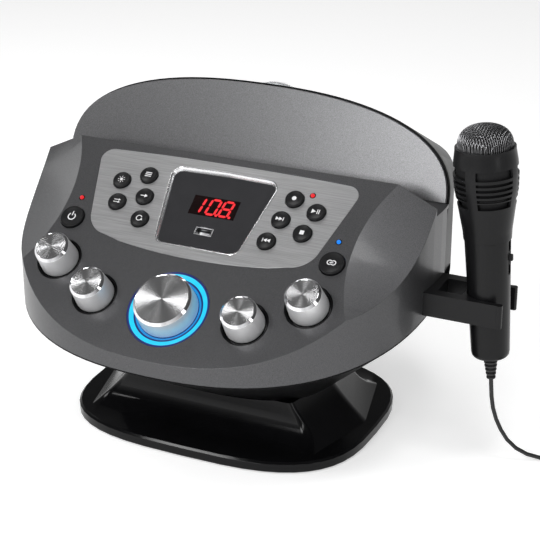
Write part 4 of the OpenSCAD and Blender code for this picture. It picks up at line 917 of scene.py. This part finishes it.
class KARAOKE_OT_lights(bpy.types.Operator):
    """Make the light ring, the indicator lamps and the faceted dome"""
    bl_idname = "karaoke.lights"
    bl_label = "Lights"

    def execute(self, context):
        self.make_ring()
        self.make_lamps()
        self.make_dome()
        return {"FINISHED"}

    def make_ring(self):
        """Light guide: a dark outer wall, a bright band and a dark inner step."""
        bm = turn_profile([(r * MM, h * MM) for r, h in RING_SECTION], 128)
        for face in bm.faces:
            reach = face.calc_center_median().to_2d().length / MM
            if reach < RING_FLOOR or RING_STEP < reach < RING_BAND[0] or reach > RING_BAND[1]:
                face.material_index = 1
            elif reach < RING_STEP:
                face.material_index = 2
        place(bm, at_joint("master_turn"))
        finish_piece("ring_guide", bm, "cyan_light", "body", ("light_ring",), 30,
                     extra=("deep_blue", "inner_blue"))

    def make_lamps(self):
        """Three domed lamps, two red and one blue, each in its collar."""
        for name, across, up, key in LAMPS:
            profile = [(0, LAMP_FOOT), (LAMP_RADIUS, LAMP_FOOT), (LAMP_RADIUS, LAMP_RISE)]
            profile += arc_points((0, LAMP_RISE), LAMP_RADIUS, 10, 90, 7)
            bm = turn_profile([(max(r, 0) * MM, h * MM) for r, h in profile], 24)
            place(bm, on_panel(across, up))
            replaced = ("indicator_lamps",) if name == "battery" else ()
            finish_piece("lamp_" + name, bm, key, "body", replaced, 40)
            bm = turn_profile([(r * MM, h * MM) for r, h in COLLAR_SECTION], 32)
            place(bm, on_panel(across, up))
            finish_piece("collar_" + name, bm, "black_gloss", "body", smooth=40)

    def make_dome(self):
        """Clear cap of flat facets over its lamp board."""
        low, high = (Vector(corner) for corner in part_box("light_board"))
        board = (low + high) / 2
        slope = math.atan2(high.z - low.z - LIGHT_BOARD, high.y - low.y)
        profile = [(DOME_RADIUS - 0.002, -DOME_SKIRT), (DOME_RADIUS, -DOME_SKIRT), (DOME_RADIUS, 0)]
        profile += dome_ridge((0.82, 0.56, 0.28), DOME_RISE)
        profile += [(0, DOME_RISE), (0, DOME_RISE - DOME_WALL)]
        profile += dome_ridge((0.3, 0.6, 0.85), DOME_RISE - DOME_WALL)
        profile.append(profile[0])
        bm = turn_profile(profile, DOME_SIDES)
        spot = board + Vector((0, math.sin(slope), math.cos(slope))) * (DOME_SKIRT + DOME_GAP)
        place(bm, Matrix.Translation(spot) @ Matrix.Rotation(-slope, 4, "X"))
        finish_piece("dome_cap", bm, "clear_dome", "body", ("light_dome",), 1)


# Microphone

# Height of the mesh's rim above the handle and the dome's rise, in millimetres, and how square it is
MESH_FOOT = 64.3
MESH_RISE = 14.5
MESH_SQUARENESS = 2.4
# Radius of the dark core at the vents and at the rim, its foot, and how far the wire stands over it
CORE_RADIUS = 19.6
CORE_RIM = 18.1
CORE_FOOT = (15, 16)
WIRE_GAP = 0.5
# Distance between two wires and the weave's radius, in metres
MESH_PITCH = 0.0015
WEAVE_REACH = 0.0187


def dome_height(away):
    """Share of the mesh dome's rise at a share of its radius."""
    return max(0.0, 1 - away ** MESH_SQUARENESS) ** (1 / MESH_SQUARENESS)


class KARAOKE_OT_microphone(bpy.types.Operator):
    """Make the microphone's handle, vented head, woven mesh and switch"""
    bl_idname = "karaoke.microphone"
    bl_label = "Microphone"

    def execute(self, context):
        dress_node("mic_handle", "handle_shell", 0.0004, angle=40, smooth=30)
        dress_node("mic_head", "head_shell", 0.0003, angle=40, smooth=30)
        dress_node("mic_switch", "switch_slider", 0.0003)
        self.make_mesh(context.scene.karaoke_sizes.mesh_wire)
        return {"FINISHED"}

    def make_mesh(self, wire):
        """Woven wire over a dark core: a dome on top and the sleeve behind the vents."""
        core = [(0, CORE_FOOT[1]), CORE_FOOT, (CORE_RADIUS, 40), (CORE_RADIUS, 52), (CORE_RIM, MESH_FOOT)]
        core += [(CORE_RIM * away, MESH_FOOT + (MESH_RISE - WIRE_GAP) * dome_height(away))
                 for away in (0.97, 0.9, 0.78, 0.62, 0.42, 0.2, 0)]
        bm = turn_profile([(r * MM, h * MM) for r, h in core], 64)
        place(bm, on_mic(HANDLE_LENGTH))
        finish_piece("mic_core", bm, "black_matte", "body", ("mic_mesh",), 40)
        bm = bmesh.new()
        count = int(WEAVE_REACH / MESH_PITCH)
        for turn in (0, 1):
            for line in range(-count, count + 1):
                add_wire(bm, self.wire_path(wire, turn, line), wire / 2)
        bmesh.ops.rotate(bm, verts=bm.verts, cent=(0, 0, 0), matrix=Matrix.Rotation(math.radians(45), 3, "Z"))
        place(bm, on_mic(HANDLE_LENGTH))
        finish_piece("mic_weave", bm, "mesh_steel", "body", smooth=80)

    def wire_path(self, wire, turn, line):
        """One wire's way over the dome, up and down past the wires that cross it."""
        offset = line * MESH_PITCH
        half = math.sqrt(WEAVE_REACH ** 2 - offset ** 2)
        steps = max(10, int(half * 2 / MESH_PITCH) * 3)
        path = []
        for step in range(steps + 1):
            along = -half * math.cos(math.pi * step / steps)
            away = min(1.0, math.hypot(along, offset) / WEAVE_REACH)
            height = (MESH_FOOT + MESH_RISE * dome_height(away)) * MM
            weave = wire * 0.5 * math.cos(math.pi * (along / MESH_PITCH + line + turn))
            spot = (along, offset) if turn == 0 else (offset, along)
            path.append(Vector((spot[0], spot[1], height + weave)))
        return path


# Disc drive

class KARAOKE_OT_drive(bpy.types.Operator):
    """Finish the disc tray, its face and the drive"""
    bl_idname = "karaoke.drive"
    bl_label = "Drive"

    def execute(self, context):
        dress_node("tray_face", "tray_front_plate", 0.0005)
        dress_node("disc_tray", "tray_plate", 0.0003, angle=50)
        dress_node("turntable", "turntable_hub", 0.0002)
        dress_node("drive_chassis", "chassis_frame", 0.0002, angle=50)
        return {"FINISHED"}


class KARAOKE_OT_inside(bpy.types.Operator):
    """Give every remaining CAD node its finish"""
    bl_idname = "karaoke.inside"
    bl_label = "Inside"

    def execute(self, context):
        for node, piece in NODES.items():
            piece.data.materials.clear()
            piece.data.materials.append(MATERIALS[SLOT_OF[node]])
        return {"FINISHED"}


# Stage

# Where the camera stands, and how far it is turned to the left and dipped
CAMERA_SPOT = Vector((0.4765, -0.9537, 0.568))
CAMERA_TURN = math.radians(25.18)
CAMERA_DIP = math.radians(23.19)
# The soft boxes: name, place, what they look at, width and height, and power in watts
KNOB_ROW = (0, -0.1, 0.14)
SOFT_BOXES = (
    ("Front left soft box", (-0.51, -0.84, 1.08), KNOB_ROW, (0.42, 0.26), 5.6),
    ("Back left soft box", (-0.51, 0.34, 1.26), KNOB_ROW, (0.42, 0.24), 2.8),
    ("Overhead soft box", (0.36, -0.27, 1.45), KNOB_ROW, (0.28, 0.28), 3.4),
    ("Left soft box", (-1.1, 0.13, 0.8), KNOB_ROW, (0.3, 0.3), 1.5),
    ("Front soft box", (-0.15, -1.15, 0.67), (0.05, 0, 0.22), (0.4, 0.36), 5.0),
    ("Edge soft box", (0.58, -0.88, 0.82), (0.1, -0.1, 0.12), (0.7, 0.14), 2.4),
    ("Right soft box", (1.15, -0.55, 0.6), (0.15, 0, 0.15), (0.2, 0.8), 1.8),
)
# How brightly the floor itself shows, and the surroundings: what shiny faces see at the horizon
# and overhead, how high the bright part reaches, and the level light on everything else
FLOOR_GLOW = 0.42
WALL_LIGHT = 0.9
CEILING_LIGHT = 0.08
WALL_HEIGHT = 0.45
LEVEL_LIGHT = 0.42


def add_lamp(name, spot, aim, size, power):
    """A rectangular soft box that looks at a point."""
    data = bpy.data.lights.new(name, "AREA")
    data.shape = "RECTANGLE"
    data.size, data.size_y = size
    data.energy = power
    lamp = bpy.data.objects.new(name, data)
    lamp.location = spot
    lamp.rotation_euler = (Vector(aim) - Vector(spot)).to_track_quat("-Z", "Y").to_euler()
    bpy.context.scene.collection.objects.link(lamp)


def add_either(tree, first, second):
    """Adds a node that is on where either of two sockets is on, and returns its output."""
    either = tree.nodes.new("ShaderNodeMath")
    either.operation = "MAXIMUM"
    tree.links.new(first, either.inputs[0])
    tree.links.new(second, either.inputs[1])
    return either.outputs["Value"]


class KARAOKE_OT_stage(bpy.types.Operator):
    """Set up the camera, the soft boxes, the floor and the surroundings"""
    bl_idname = "karaoke.stage"
    bl_label = "Stage"

    def execute(self, context):
        context.scene.view_settings.view_transform = "Standard"
        self.make_camera(context)
        self.make_floor()
        self.make_world(context)
        for soft_box in SOFT_BOXES:
            add_lamp(*soft_box)
        return {"FINISHED"}

    def make_camera(self, context):
        """The camera that the photo was taken with, as solved from its outlines."""
        data = bpy.data.cameras.new("Camera")
        data.lens = context.scene.karaoke_sizes.camera_lens
        data.sensor_width = 36
        data.sensor_fit = "HORIZONTAL"
        data.clip_start = 0.05
        data.clip_end = 50
        camera = bpy.data.objects.new("Camera", data)
        ahead = Vector((-math.sin(CAMERA_TURN) * math.cos(CAMERA_DIP),
                        math.cos(CAMERA_TURN) * math.cos(CAMERA_DIP), -math.sin(CAMERA_DIP)))
        right = Vector((math.cos(CAMERA_TURN), math.sin(CAMERA_TURN), 0))
        up = right.cross(ahead)
        turn = Matrix((right, up, -ahead)).transposed().to_4x4()
        camera.matrix_world = Matrix.Translation(CAMERA_SPOT) @ turn
        context.scene.collection.objects.link(camera)
        context.scene.camera = camera

    def make_floor(self):
        """A pale floor that takes the shadow and looks almost white."""
        bm = bmesh.new()
        bmesh.ops.create_grid(bm, x_segments=1, y_segments=1, size=6)
        mesh = bpy.data.meshes.new("floor")
        bm.to_mesh(mesh)
        bm.free()
        floor = bpy.data.objects.new("floor", mesh)
        bpy.context.scene.collection.objects.link(floor)
        material, tree, shader = plain("Pale floor", (0.82, 0.82, 0.82), 0.7)
        light = tree.nodes.new("ShaderNodeLightPath")
        glow = tree.nodes.new("ShaderNodeMath")
        glow.operation = "MULTIPLY"
        glow.inputs[1].default_value = FLOOR_GLOW
        seen = add_either(tree, light.outputs["Is Camera Ray"], light.outputs["Is Glossy Ray"])
        seen = add_either(tree, seen, light.outputs["Is Transmission Ray"])
        tree.links.new(seen, glow.inputs[0])
        tree.links.new(glow.outputs["Value"], shader.inputs["Emission Strength"])
        shader.inputs["Emission Color"].default_value = (1, 1, 1, 1)
        mesh.materials.append(material)

    def make_world(self, context):
        """White to the camera, white walls under a dim ceiling to reflections, level light to the rest."""
        world = bpy.data.worlds.new("Studio")
        world.use_nodes = True
        tree = world.node_tree
        back = tree.nodes["Background"]
        light = tree.nodes.new("ShaderNodeLightPath")
        seen = add_either(tree, light.outputs["Is Camera Ray"], light.outputs["Is Transmission Ray"])
        direction = tree.nodes.new("ShaderNodeTexCoord")
        split = tree.nodes.new("ShaderNodeSeparateXYZ")
        tree.links.new(direction.outputs["Generated"], split.inputs["Vector"])
        wall = tree.nodes.new("ShaderNodeMapRange")
        wall.inputs["From Max"].default_value = WALL_HEIGHT
        wall.inputs["To Min"].default_value = WALL_LIGHT
        wall.inputs["To Max"].default_value = CEILING_LIGHT
        tree.links.new(split.outputs["Z"], wall.inputs["Value"])
        shiny = tree.nodes.new("ShaderNodeMix")
        shiny.inputs["A"].default_value = LEVEL_LIGHT
        tree.links.new(light.outputs["Is Glossy Ray"], shiny.inputs["Factor"])
        tree.links.new(wall.outputs["Result"], shiny.inputs["B"])
        mixed = tree.nodes.new("ShaderNodeMix")
        tree.links.new(seen, mixed.inputs["Factor"])
        tree.links.new(shiny.outputs["Result"], mixed.inputs["A"])
        mixed.inputs["B"].default_value = 1.0
        tree.links.new(mixed.outputs["Result"], back.inputs["Strength"])
        back.inputs["Color"].default_value = (1, 1, 1, 1)
        context.scene.world = world


class KARAOKE_PT_pieces(bpy.types.Panel):
    """Lists the machine's pieces"""
    bl_idname = "KARAOKE_PT_pieces"
    bl_label = "Karaoke machine"
    bl_space_type = "VIEW_3D"
    bl_region_type = "UI"
    bl_category = "Karaoke"

    def draw(self, context):
        for group in (context.scene.karaoke_sizes, context.scene.karaoke_colours):
            for name in group.bl_rna.properties.keys():
                if name not in ("rna_type", "name"):
                    self.layout.prop(group, name)
        for operator in OPERATORS:
            self.layout.operator(operator.bl_idname)


OPERATORS = (KARAOKE_OT_stage, KARAOKE_OT_lead, KARAOKE_OT_inside, KARAOKE_OT_case, KARAOKE_OT_panel,
             KARAOKE_OT_buttons, KARAOKE_OT_knobs, KARAOKE_OT_lights, KARAOKE_OT_microphone,
             KARAOKE_OT_drive)
CLASSES = (KaraokeSizes, KaraokeColours, *OPERATORS, KARAOKE_PT_pieces)


def register():
    """Registers the sizes, the colours, the operators and the sidebar panel."""
    for item in CLASSES:
        bpy.utils.register_class(item)
    bpy.types.Scene.karaoke_sizes = bpy.props.PointerProperty(type=KaraokeSizes)
    bpy.types.Scene.karaoke_colours = bpy.props.PointerProperty(type=KaraokeColours)


def unregister():
    """Takes away what register added."""
    del bpy.types.Scene.karaoke_colours
    del bpy.types.Scene.karaoke_sizes
    for item in reversed(CLASSES):
        bpy.utils.unregister_class(item)


def main():
    """Makes every piece."""
    register()
    MATERIALS.update(build_materials())
    bpy.ops.karaoke.stage()
    bpy.ops.karaoke.lead()
    bpy.ops.karaoke.inside()
    bpy.ops.karaoke.case()
    bpy.ops.karaoke.panel()
    bpy.ops.karaoke.buttons()
    bpy.ops.karaoke.knobs()
    bpy.ops.karaoke.lights()
    bpy.ops.karaoke.microphone()
    bpy.ops.karaoke.drive()


if __name__ == "__main__":
    main()
